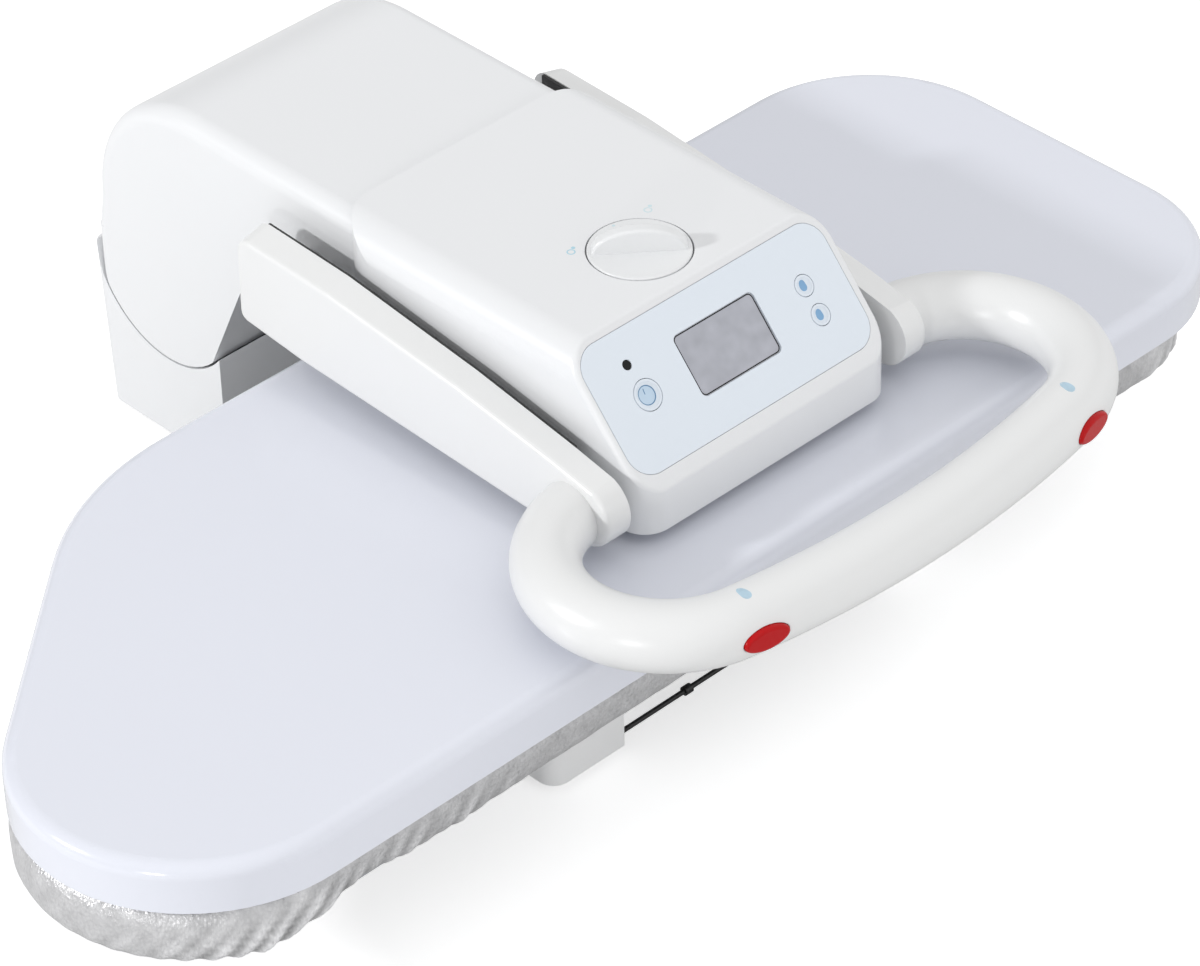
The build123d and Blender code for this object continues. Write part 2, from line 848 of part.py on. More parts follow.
power_button = round_button(power_place, power_diameter)
key_upper = round_button(key_places["key_upper"], key_diameter)
key_lower = round_button(key_places["key_lower"], key_diameter)

# Knob: low disc in its well with an upright arched grip across it, on a round shaft
knob_bottom_z = knob_well_z + knob_lift
grip_plane = Plane(
    origin=(*knob_centre, knob_top_z),
    x_dir=(cos(radians(grip_angle)), sin(radians(grip_angle)), 0),
    z_dir=(sin(radians(grip_angle)), -cos(radians(grip_angle)), 0),
)
with BuildPart(mode=Mode.PRIVATE) as knob_grip:
    with BuildSketch(grip_plane.offset(-grip_width / 2)):
        Ellipse(grip_length / 2, grip_height)
        with Locations((0, -1 - grip_height / 2)):
            Rectangle(grip_length, grip_height, mode=Mode.SUBTRACT)
    extrude(amount=grip_width)
    arch_edges = knob_grip.edges().filter_by(lambda edge: edge.center().Z > knob_top_z + 1)
    fillet(arch_edges, 1.5)

with BuildPart() as knob:
    with BuildSketch(Plane.XY.offset(knob_bottom_z)):
        with Locations(knob_centre):
            Circle(knob_diameter / 2)
    extrude(amount=knob_top_z - knob_bottom_z)
    fillet(knob.faces().sort_by(Axis.Z)[-1].edges(), 0.8)
    add(knob_grip.part)
    with BuildSketch(Plane.XY.offset(knob_bottom_z)):
        with Locations(knob_centre):
            Circle(knob_shaft_diameter / 2)
    extrude(amount=-knob_shaft_length)

# Rotary switch under the knob, with the bearing of the shaft
switch_width = 28.0
switch_depth = 24.0
switch_height = 12.0
switch_top_z = knob_well_z - shell_wall
switch_bottom_z = switch_top_z - switch_height
with BuildPart() as rotary_switch:
    with BuildSketch(Plane.XY.offset(switch_bottom_z)):
        with Locations(knob_centre):
            RectangleRounded(switch_width, switch_depth, 3.0)
            Circle(knob_shaft_diameter / 2 + shaft_clearance, mode=Mode.SUBTRACT)
    extrude(amount=switch_top_z - switch_bottom_z)


# Pivot pins: fixed in the brackets, through the housing, each turning in a blind bore of its arm
def pivot_pin(side):
    """Round pin with a collar that spaces the arm from the housing."""
    inner_x = bracket_x - bracket_thickness / 2
    collar_start = head_half_width
    collar_end = arm_inner_x - 0.3
    with BuildPart() as pin:
        with BuildSketch(side_plane(side * inner_x)):
            with Locations((pivot_y, pivot_z)):
                Circle(pivot_diameter / 2)
        extrude(amount=side * (arm_inner_x + pivot_depth - inner_x))
        with BuildSketch(side_plane(side * collar_start)):
            with Locations((pivot_y, pivot_z)):
                Circle(pivot_collar_diameter / 2)
        extrude(amount=side * (collar_end - collar_start))
    return pin


def pivot_hole(side):
    """Clearance hole of a pivot pin through the wall of the housing."""
    with BuildPart() as hole:
        with BuildSketch(side_plane(side * (head_half_width - shell_wall - 1))):
            with Locations((pivot_y, pivot_z)):
                Circle(pivot_diameter / 2 + fit_clearance)
        extrude(amount=side * (shell_wall + 2))
    return hole.part


pivot_pin_left = pivot_pin(-1)
pivot_pin_right = pivot_pin(1)
head_shell.part -= pivot_hole(-1)
head_shell.part -= pivot_hole(1)


# Arms: flat levers on both sides of the head, higher along their inner edge behind the nose
def arm_outline(top_points):
    """Side outline of an arm below its upper edge, given from the nose to the rear."""
    rear_low = arm_bottom[-1]
    nose_low, nose_middle = arm_nose
    with BuildSketch() as outline:
        with BuildLine():
            Polyline(nose_low, *arm_bottom, *reversed(top_points))
            ThreePointArc(top_points[0], nose_middle, nose_low)
        make_face()
        fillet(outline.vertices().sort_by_distance((*top_points[-1], 0))[0], 9.0)
        fillet(outline.vertices().sort_by_distance((*rear_low, 0))[0], 6.0)
    return outline.sketch


seam_slope = atan2(arm_bottom[1][1] - arm_bottom[0][1], arm_bottom[1][0] - arm_bottom[0][0])
seam_plane = Plane(
    origin=(head_x, arm_bottom[0][0], arm_bottom[0][1] + arm_seam),
    x_dir=(1, 0, 0),
    z_dir=(0, -sin(seam_slope), cos(seam_slope)),
)


def arm_piece(side, keep):
    """Arm above its seam, or the cover below it, with the blind bore of the pivot."""
    with BuildPart() as arm:
        with BuildSketch(side_plane(side * arm_inner_x)):
            add(arm_outline(arm_inner_top))
        with BuildSketch(side_plane(side * arm_outer_x)):
            add(arm_outline(arm_outer_top))
        loft(ruled=True)
        outer_face = arm.faces().filter_by(Axis.X).sort_by(Axis.X)[-1 if side > 0 else 0]
        fillet(outer_face.edges(), arm_edge_radius)
        with BuildSketch(side_plane(side * (arm_inner_x - 1))):
            with Locations((pivot_y, pivot_z)):
                Circle(pivot_diameter / 2 + pivot_clearance)
        extrude(amount=side * (pivot_depth + 2), mode=Mode.SUBTRACT)
        split(bisect_by=seam_plane, keep=keep)
    return arm


arm_left = arm_piece(-1, Keep.TOP)
arm_right = arm_piece(1, Keep.TOP)
arm_cover_left = arm_piece(-1, Keep.BOTTOM)
arm_cover_right = arm_piece(1, Keep.BOTTOM)

# Handle: bent tube of two shells, from one arm's side round the front to the other's
bar_centre_y = bar_front_y + bar_radius
corner_y = bar_centre_y - sqrt((bar_radius - corner_radius) ** 2 - corner_x**2)
corner_start_angle = degrees(atan2(corner_y - bar_centre_y, corner_x))


def handle_tube(radius):
    """Round tube along the handle: bowed front bar and two corners that turn back to the arms."""
    corner_sweep = 90.0 - corner_start_angle
    bar_sweep = 180.0 + 2 * corner_start_angle
    with BuildPart() as tube:
        with BuildLine(Plane.XY.offset(handle_z)) as line:
            CenterArc((head_x - corner_x, corner_y), corner_radius, 90.0, corner_sweep)
            CenterArc(
                (head_x, bar_centre_y),
                bar_radius,
                -180.0 - corner_start_angle,
                bar_sweep,
            )
            CenterArc(
                (head_x + corner_x, corner_y),
                corner_radius,
                corner_start_angle,
                corner_sweep,
            )
        path = line.wire()
        with BuildSketch(Plane(origin=path @ 0, z_dir=path % 0)):
            Circle(radius)
        sweep(path=path)
        trim_front_y = corner_y + corner_radius / 4
        trim_depth = 2 * corner_radius
        with BuildSketch(Plane.XY.offset(handle_z - 2 * radius)):
            with Locations((head_x, trim_front_y + trim_depth / 2)):
                Rectangle(2 * arm_outer_x, trim_depth)
        extrude(amount=4 * radius, mode=Mode.SUBTRACT)
    return tube.part


def steam_plane(side):
    """Plane on the front of the handle at a steam button: X along the bar, Z outwards."""
    angle = side * atan2(steam_x, sqrt(bar_radius**2 - steam_x**2))
    outward = Vector(sin(angle), -cos(angle), 0)
    on_bar = Vector(head_x + bar_radius * sin(angle), bar_centre_y - bar_radius * cos(angle), handle_z)
    return Plane(
        origin=on_bar + outward * tube_radius,
        x_dir=(cos(angle), sin(angle), 0),
        z_dir=outward,
    )


def steam_pocket(side):
    """Oval hole of a steam button through the wall of the handle."""
    with BuildPart() as pocket:
        with BuildSketch(steam_plane(side).offset(3.0)):
            Ellipse(steam_length / 2 + button_clearance, steam_height / 2 + button_clearance)
        extrude(amount=-tube_wall - 6.0)
    return pocket.part


def steam_button(side):
    """Oval thumb button with a domed face."""
    with BuildPart() as button:
        with BuildSketch(steam_plane(side).offset(steam_proud)):
            Ellipse(steam_length / 2, steam_height / 2)
        extrude(amount=-steam_depth)
        fillet(button.edges().sort_by_distance(steam_plane(side).offset(9.0).origin)[0], 1.8)
    return button


seam_level = Plane.XY.offset(handle_z - handle_seam_drop)
with BuildPart() as handle_upper:
    add(handle_tube(tube_radius))
    add(handle_tube(tube_radius - tube_wall), mode=Mode.SUBTRACT)
    split(bisect_by=seam_level, keep=Keep.TOP)
    add(steam_pocket(-1), mode=Mode.SUBTRACT)
    add(steam_pocket(1), mode=Mode.SUBTRACT)

with BuildPart() as handle_lower:
    add(handle_tube(tube_radius))
    add(handle_tube(tube_radius - tube_wall), mode=Mode.SUBTRACT)
    split(bisect_by=seam_level, keep=Keep.BOTTOM)

steam_button_left = steam_button(-1)
steam_button_right = steam_button(1)


# Base housing: box with a round cradle for the lobe of the head
def base_block(inset, cradle_radius):
    """Side outline of the base, less the cradle round the hinge."""
    half_width = head_half_width - inset
    front_y = base_front_y + inset
    bottom_z = base_bottom_z - (1 if inset else 0)
    rear_bottom = (base_rear_foot_y - inset, bottom_z)
    rear_top = (base_rear_y - inset, base_rear_top_z)
    with BuildPart() as block:
        with BuildSketch(side_plane(-half_width)):
            with BuildLine():
                Polyline(
                    (front_y, bottom_z),
                    rear_bottom,
                    rear_top,
                    (front_y, base_rear_top_z),
                    close=True,
                )
            make_face()
        extrude(amount=2 * half_width)
        rear_face = block.faces().sort_by(Axis.Y)[-1]
        fillet(rear_face.edges().filter_by(Axis.X, reverse=True), head_edge_radius - inset)
        with BuildSketch(side_plane(-half_width - 1)):
            with Locations((hinge_y, hinge_z)):
                Circle(cradle_radius)
        extrude(amount=2 * half_width + 2, mode=Mode.SUBTRACT)
    return block.part


cradle_radius = lobe_radius + cradle_clearance
inlet_x = head_x + 56.0
inlet_z = 26.0
inlet_diameter = 16.0
with BuildPart() as base_housing:
    add(base_block(0, cradle_radius))
    add(base_block(base_wall, cradle_radius + base_wall), mode=Mode.SUBTRACT)
    for ear in (-ear_x, ear_x):
        with BuildSketch(side_plane(ear - ear_thickness / 2 - ear_slot_clearance)):
            with Locations((hinge_y, hinge_z - cradle_radius)):
                Rectangle(ear_foot_width + 2 * ear_slot_clearance, 30.0)
        extrude(amount=ear_thickness + 2 * ear_slot_clearance, mode=Mode.SUBTRACT)
    with BuildSketch(Plane.XY.offset(base_bottom_z - 1)):
        with Locations((head_x, base_front_y)):
            Rectangle(2 * (head_half_width - base_wall), 4 * base_wall)
    extrude(amount=plate_sheet_z - base_bottom_z + 1 + fit_clearance, mode=Mode.SUBTRACT)
    with BuildSketch(side_plane(-head_half_width - 1)):
        with BuildLine():
            Polyline(
                about_hinge(cradle_radius, lobe_rear_angle - opening_angle),
                (base_rear_y - relief_wall, base_rear_top_z + 1),
                (hinge_y, base_rear_top_z + 1),
                close=True,
            )
        make_face()
    extrude(amount=2 * head_half_width + 2, mode=Mode.SUBTRACT)
    with BuildSketch(Plane.XZ.offset(-base_rear_foot_y + 8)):
        with Locations((inlet_x, inlet_z)):
            Circle(inlet_diameter / 2)
    extrude(amount=-14.0, mode=Mode.SUBTRACT)

# Cord inlet: round grommet in the back wall
cord_hole_diameter = 7.6
with BuildPart() as cord_inlet:
    with BuildSketch(Plane.XZ.offset(-base_rear_foot_y + 8)):
        with Locations((inlet_x, inlet_z)):
            Circle(inlet_diameter / 2 - 0.1)
            Circle(cord_hole_diameter / 2, mode=Mode.SUBTRACT)
    extrude(amount=-12.0)

# Base plate: steel sheet under the housing and out between the rails
plate_front = foot_front_y + foot_depth
plate_rear = base_rear_foot_y - base_wall - 1.0
plate_side = head_half_width - base_wall - 0.5
base_window = (60.0, 60.0, 8.0)
base_window_pitch = 76.0
pad_setback = 18.0
pad_rows = (
    (foot_front_y + foot_depth / 2, (foot_inner_x + foot_outer_x) / 2),
    (plate_rear - pad_setback, plate_side - pad_setback),
)
pad_places = [(head_x + x, y) for y, reach in pad_rows for x in (-reach, reach)]
with BuildPart() as base_plate:
    with BuildSketch(Plane.XY.offset(foot_pad_height)):
        with Locations((head_x, (plate_front + rail_rear_y) / 2)):
            Rectangle(2 * foot_outer_x, rail_rear_y - plate_front)
        with Locations((head_x, (plate_front + plate_rear) / 2)):
            RectangleRounded(2 * plate_side, plate_rear - plate_front, head_edge_radius - base_wall)
        with Locations((head_x, (plate_front + rail_rear_y) / 2)):
            with GridLocations(base_window_pitch, base_window_pitch, 2, 2):
                RectangleRounded(*base_window, mode=Mode.SUBTRACT)
    extrude(amount=base_sheet)

with BuildPart() as rubber_feet:
    with BuildSketch():
        with Locations(*pad_places):
            Circle(foot_pad_diameter / 2)
    extrude(amount=foot_pad_height)

# Hinge frame: steel bracket with two ears that rise into the lobe and hold the shaft
frame_flange = 4.0
with BuildPart() as hinge_frame:
    with BuildSketch(Plane.XY.offset(plate_sheet_z)):
        with Locations((head_x, hinge_y)):
            Rectangle(2 * ear_x + ear_thickness + 20, ear_foot_width)
    extrude(amount=frame_flange)
    for ear in (-ear_x, ear_x):
        with BuildSketch(side_plane(ear - ear_thickness / 2)):
            with BuildLine():
                Polyline(
                    (hinge_y - ear_foot_width / 2, plate_sheet_z),
                    (hinge_y + ear_foot_width / 2, plate_sheet_z),
                    (hinge_y + ear_radius, hinge_z),
                    (hinge_y - ear_radius, hinge_z),
                    close=True,
                )
            make_face()
            with Locations((hinge_y, hinge_z)):
                Circle(ear_radius)
                Circle(shaft_diameter / 2, mode=Mode.SUBTRACT)
        extrude(amount=ear_thickness)


# Front feet: white moulded shells, open behind, from the table to the pan
pan_underside_z = pan_top_z - pan_sheet


def front_foot(side):
    """Hollow foot with rounded front corner on its outer side."""
    middle_x = head_x + side * (foot_inner_x + foot_outer_x) / 2
    width = foot_outer_x - foot_inner_x
    with BuildPart() as foot:
        with BuildSketch(Plane.XY.offset(foot_pad_height)):
            with Locations((middle_x, foot_front_y + foot_depth / 2)):
                Rectangle(width, foot_depth)
        extrude(amount=pan_underside_z - foot_pad_height)
        outer_edges = foot.edges().filter_by(Axis.Z).sort_by(Axis.Y)[:2].sort_by(Axis.X)
        fillet(outer_edges[0 if side < 0 else -1], foot_corner_radius)
        with BuildSketch(Plane.XY.offset(foot_pad_height + foot_wall)):
            with Locations((middle_x, foot_front_y + foot_depth / 2 + foot_wall)):
                Rectangle(width - 2 * foot_wall, foot_depth)
        extrude(amount=pan_underside_z - foot_pad_height - 2 * foot_wall, mode=Mode.SUBTRACT)
    return foot


def support_rail(side):
    """Steel channel, open below, on the base plate behind its foot."""
    middle_x = head_x + side * (foot_inner_x + foot_outer_x) / 2
    length = rail_rear_y - plate_front
    with BuildPart() as rail:
        with BuildSketch(Plane.XZ.offset(-rail_rear_y)):
            with Locations((middle_x, plate_sheet_z + rail_height / 2)):
                Rectangle(rail_width, rail_height)
                with Locations((0, -rail_wall)):
                    Rectangle(rail_width - 2 * rail_wall, rail_height, mode=Mode.SUBTRACT)
        extrude(amount=length)
    return rail


def rear_post(side):
    """Square steel post from the rail up to the pan."""
    middle_x = head_x + side * (foot_inner_x + foot_outer_x) / 2
    bottom_z = plate_sheet_z + rail_height
    with BuildPart() as post:
        with BuildSketch(Plane.XY.offset(bottom_z)):
            with Locations((middle_x, post_y)):
                Rectangle(rail_width - 4, post_depth)
                Rectangle(rail_width - 4 - 2 * rail_wall, post_depth - 2 * rail_wall, mode=Mode.SUBTRACT)
        extrude(amount=pan_underside_z - bottom_z)
    return post


front_foot_left = front_foot(-1)
front_foot_right = front_foot(1)
support_rail_left = support_rail(-1)
support_rail_right = support_rail(1)
rear_post_left = rear_post(-1)
rear_post_right = rear_post(1)

# Stretcher rod between the feet, with a small collar
with BuildPart() as stretcher_rod:
    with BuildSketch(Plane.YZ.offset(head_x - foot_inner_x)):
        with Locations((rod_y, rod_z)):
            Circle(rod_diameter / 2)
    extrude(amount=2 * foot_inner_x)

with BuildPart() as rod_collar:
    with BuildSketch(Plane.YZ.offset(rod_collar_x - rod_collar_length / 2)):
        with Locations((rod_y, rod_z)):
            Circle(rod_collar_diameter / 2)
            Circle(rod_diameter / 2, mode=Mode.SUBTRACT)
    extrude(amount=rod_collar_length)

pieces = {
    "base_housing": base_housing,
    "base_plate": base_plate,
    "rubber_feet": rubber_feet,
    "front_foot_left": front_foot_left,
    "front_foot_right": front_foot_right,
    "support_rail_left": support_rail_left,
    "support_rail_right": support_rail_right,
    "rear_post_left": rear_post_left,
    "rear_post_right": rear_post_right,
    "stretcher_rod": stretcher_rod,
    "rod_collar": rod_collar,
    "board_pan": board_pan,
    "board_pad": board_pad,
    "board_cover": board_cover,
    "hinge_frame": hinge_frame,
    "hinge_shaft": hinge_shaft,
    "cord_inlet": cord_inlet,
    "head_shell": head_shell,
    "console_shell": console_shell,
    "console_floor": console_floor,
    "head_chassis": head_chassis,
    "head_bracket_left": head_bracket_left,
    "head_bracket_right": head_bracket_right,
    "hinge_bush_left": hinge_bush_left,
    "hinge_bush_right": hinge_bush_right,
    "plate_cover": plate_cover,
    "heating_plate": heating_plate,
    "heating_element": heating_element,
    "plate_hangers": plate_hangers,
    "thermostat": thermostat,
    "water_tank": water_tank,
    "tank_cap": tank_cap,
    "water_pump": water_pump,
    "steam_tube": steam_tube,
    "circuit_board": circuit_board,
    "display_module": display_module,
    "display_window": display_window,
    "sensor_lens": sensor_lens,
    "control_panel": control_panel,
    "rotary_switch": rotary_switch,
    "pivot_pin_left": pivot_pin_left,
    "pivot_pin_right": pivot_pin_right,
    "arm_left": arm_left,
    "arm_right": arm_right,
    "arm_cover_left": arm_cover_left,
    "arm_cover_right": arm_cover_right,
    "handle_upper": handle_upper,
    "handle_lower": handle_lower,
    "knob": knob,
    "power_button": power_button,
    "key_upper": key_upper,
    "key_lower": key_lower,
    "steam_button_left": steam_button_left,
    "steam_button_right": steam_button_right,
}
for name, piece in pieces.items():
    piece.part.label = name
    export_step(piece.part, f"parts/{name}.step")
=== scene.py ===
"""Looks of a domestic steam press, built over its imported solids. Metres, Z up, nose of the board at -X."""

from math import cos, exp, pi, radians, sin, sqrt

import bmesh
import bpy
from mathutils import Matrix, Vector, noise
from mathutils.bvhtree import BVHTree


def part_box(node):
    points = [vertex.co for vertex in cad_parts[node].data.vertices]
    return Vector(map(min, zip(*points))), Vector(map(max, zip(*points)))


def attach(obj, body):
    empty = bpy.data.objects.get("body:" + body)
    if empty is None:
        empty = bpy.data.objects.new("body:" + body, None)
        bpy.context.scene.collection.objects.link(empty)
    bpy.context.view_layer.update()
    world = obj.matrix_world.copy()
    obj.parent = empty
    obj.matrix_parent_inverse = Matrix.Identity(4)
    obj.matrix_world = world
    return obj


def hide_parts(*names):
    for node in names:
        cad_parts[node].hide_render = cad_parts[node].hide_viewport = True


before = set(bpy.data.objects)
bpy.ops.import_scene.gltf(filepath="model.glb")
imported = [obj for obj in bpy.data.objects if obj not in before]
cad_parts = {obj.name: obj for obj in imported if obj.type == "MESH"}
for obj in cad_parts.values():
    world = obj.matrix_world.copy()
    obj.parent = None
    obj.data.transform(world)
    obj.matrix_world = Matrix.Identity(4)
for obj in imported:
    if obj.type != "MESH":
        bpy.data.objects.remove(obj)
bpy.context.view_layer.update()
MM = 0.001


# ---------------------------------------------------------------- camera
CAMERA_PLACE = Vector((-1.3121, -1.4720, 1.5689))
CAMERA_AZIMUTH = -43.234
CAMERA_ELEVATION = 37.407
CAMERA_ROLL = -1.568
CAMERA_LENS = 155.28
CAMERA_SENSOR = 36.0


def place_camera():
    """Long lens from the front left and above, turned as the photograph was taken."""
    data = bpy.data.cameras.new("camera")
    data.lens = CAMERA_LENS
    data.sensor_width = CAMERA_SENSOR
    data.clip_start = 0.05
    data.clip_end = 30.0
    camera = bpy.data.objects.new("camera", data)
    bpy.context.scene.collection.objects.link(camera)
    turn = (
        Matrix.Rotation(radians(CAMERA_AZIMUTH), 4, "Z")
        @ Matrix.Rotation(radians(90.0 - CAMERA_ELEVATION), 4, "X")
        @ Matrix.Rotation(radians(CAMERA_ROLL), 4, "Z")
    )
    camera.matrix_world = Matrix.Translation(CAMERA_PLACE) @ turn
    bpy.context.scene.camera = camera


place_camera()


# ---------------------------------------------------------------- node helpers
def new_node(tree, kind, place=(0, 0), **settings):
    """Node of a kind at a place in the tree, with its properties set."""
    node = tree.nodes.new(kind)
    node.location = place
    for name, value in settings.items():
        setattr(node, name, value)
    return node


def set_inputs(node, **values):
    """Sets a node's sockets by name; an underscore in the name stands for a space."""
    for name, value in values.items():
        node.inputs[name.replace("_", " ")].default_value = value
    return node


def new_group(name, inputs, outputs):
    """Empty shader group with its sockets; returns the tree, its input node and its output node."""
    group = bpy.data.node_groups.new(name, "ShaderNodeTree")
    for socket_name, kind, default in inputs:
        socket = group.interface.new_socket(name=socket_name, in_out="INPUT", socket_type=kind)
        if default is not None:
            socket.default_value = default
    for socket_name, kind in outputs:
        group.interface.new_socket(name=socket_name, in_out="OUTPUT", socket_type=kind)
    start = new_node(group, "NodeGroupInput", (-900, 0))
    end = new_node(group, "NodeGroupOutput", (700, 0))
    return group, start, end


FLOAT = "NodeSocketFloat"
COLOUR = "NodeSocketColor"
VECTOR = "NodeSocketVector"


def tone_group():
    """Slow drift and fine speckle of a colour over a surface, lighter and darker than the colour itself."""
    group, start, end = new_group(
        "tone_drift",
        [("Vector", VECTOR, None), ("Colour", COLOUR, (0.8, 0.8, 0.8, 1.0)), ("Drift Size", FLOAT, 7.0),
         ("Drift", FLOAT, 0.03), ("Speckle Size", FLOAT, 900.0), ("Speckle", FLOAT, 0.01)],
        [("Colour", COLOUR)],
    )
    link = group.links.new
    drift = new_node(group, "ShaderNodeTexNoise", (-650, 160))
    set_inputs(drift, Detail=1.0, Roughness=0.5)
    speckle = new_node(group, "ShaderNodeTexNoise", (-650, -120))
    set_inputs(speckle, Detail=1.0)
    link(start.outputs["Vector"], drift.inputs["Vector"])
    link(start.outputs["Vector"], speckle.inputs["Vector"])
    link(start.outputs["Drift Size"], drift.inputs["Scale"])
    link(start.outputs["Speckle Size"], speckle.inputs["Scale"])
    drift_part = new_node(group, "ShaderNodeMath", (-430, 160), operation="MULTIPLY_ADD")
    link(drift.outputs["Fac"], drift_part.inputs[0])
    link(start.outputs["Drift"], drift_part.inputs[1])
    drift_part.inputs[2].default_value = 1.0
    speckle_part = new_node(group, "ShaderNodeMath", (-230, 0), operation="MULTIPLY_ADD")
    link(speckle.outputs["Fac"], speckle_part.inputs[0])
    link(start.outputs["Speckle"], speckle_part.inputs[1])
    link(drift_part.outputs[0], speckle_part.inputs[2])
    middle = new_node(group, "ShaderNodeMath", (-430, -60), operation="ADD")
    link(start.outputs["Drift"], middle.inputs[0])
    link(start.outputs["Speckle"], middle.inputs[1])
    centred = new_node(group, "ShaderNodeMath", (-30, 0), operation="MULTIPLY_ADD")
    link(middle.outputs[0], centred.inputs[0])
    centred.inputs[1].default_value = -0.5
    link(speckle_part.outputs[0], centred.inputs[2])
    shade = new_node(group, "ShaderNodeVectorMath", (200, 60), operation="SCALE")
    link(start.outputs["Colour"], shade.inputs[0])
    link(centred.outputs[0], shade.inputs["Scale"])
    link(shade.outputs["Vector"], end.inputs["Colour"])
    return group


def skin_group():
    """Skin of a moulding or a paint film: waves and fine grain as a height, and a change of roughness."""
    group, start, end = new_group(
        "moulded_skin",
        [("Vector", VECTOR, None), ("Wave Size", FLOAT, 45.0), ("Wave", FLOAT, 0.5),
         ("Grain Size", FLOAT, 1400.0), ("Grain", FLOAT, 0.3), ("Roughness", FLOAT, 0.3),
         ("Spread", FLOAT, 0.06)],
        [("Height", FLOAT), ("Roughness", FLOAT)],
    )
    link = group.links.new
    wave = new_node(group, "ShaderNodeTexNoise", (-650, 200))
    set_inputs(wave, Detail=1.5)
    grain = new_node(group, "ShaderNodeTexNoise", (-650, -100))
    set_inputs(grain, Detail=2.0, Roughness=0.6)
    patch = new_node(group, "ShaderNodeTexNoise", (-650, -380))
    set_inputs(patch, Scale=22.0, Detail=1.0, Roughness=0.5)
    for texture in (wave, grain, patch):
        link(start.outputs["Vector"], texture.inputs["Vector"])
    link(start.outputs["Wave Size"], wave.inputs["Scale"])
    link(start.outputs["Grain Size"], grain.inputs["Scale"])
    wave_part = new_node(group, "ShaderNodeMath", (-400, 200), operation="MULTIPLY")
    link(wave.outputs["Fac"], wave_part.inputs[0])
    link(start.outputs["Wave"], wave_part.inputs[1])
    height = new_node(group, "ShaderNodeMath", (-180, 60), operation="MULTIPLY_ADD")
    link(grain.outputs["Fac"], height.inputs[0])
    link(start.outputs["Grain"], height.inputs[1])
    link(wave_part.outputs[0], height.inputs[2])
    centred = new_node(group, "ShaderNodeMath", (-400, -380), operation="SUBTRACT")
    link(patch.outputs["Fac"], centred.inputs[0])
    centred.inputs[1].default_value = 0.5
    rough = new_node(group, "ShaderNodeMath", (-180, -300), operation="MULTIPLY_ADD", use_clamp=True)
    link(centred.outputs[0], rough.inputs[0])
    link(start.outputs["Spread"], rough.inputs[1])
    link(start.outputs["Roughness"], rough.inputs[2])
    link(height.outputs[0], end.inputs["Height"])
    link(rough.outputs[0], end.inputs["Roughness"])
    return group


def brushed_group():
    """Fine drawn or ground lines along one direction, as a height and a roughness."""
    group, start, end = new_group(
        "brushed_lines",
        [("Vector", VECTOR, None), ("Line Size", FLOAT, 900.0), ("Roughness", FLOAT, 0.3),
         ("Spread", FLOAT, 0.15)],
        [("Height", FLOAT), ("Roughness", FLOAT)],
    )
    link = group.links.new
    stretch = new_node(group, "ShaderNodeMapping", (-700, 0))
    stretch.inputs["Scale"].default_value = (0.02, 1.0, 1.0)
    lines = new_node(group, "ShaderNodeTexNoise", (-480, 0))
    set_inputs(lines, Detail=3.0, Roughness=0.7)
    link(start.outputs["Vector"], stretch.inputs["Vector"])
    link(stretch.outputs["Vector"], lines.inputs["Vector"])
    link(start.outputs["Line Size"], lines.inputs["Scale"])
    rough = new_node(group, "ShaderNodeMath", (-200, -120), operation="MULTIPLY_ADD", use_clamp=True)
    link(lines.outputs["Fac"], rough.inputs[0])
    link(start.outputs["Spread"], rough.inputs[1])
    link(start.outputs["Roughness"], rough.inputs[2])
    link(lines.outputs["Fac"], end.inputs["Height"])
    link(rough.outputs[0], end.inputs["Roughness"])
    return group


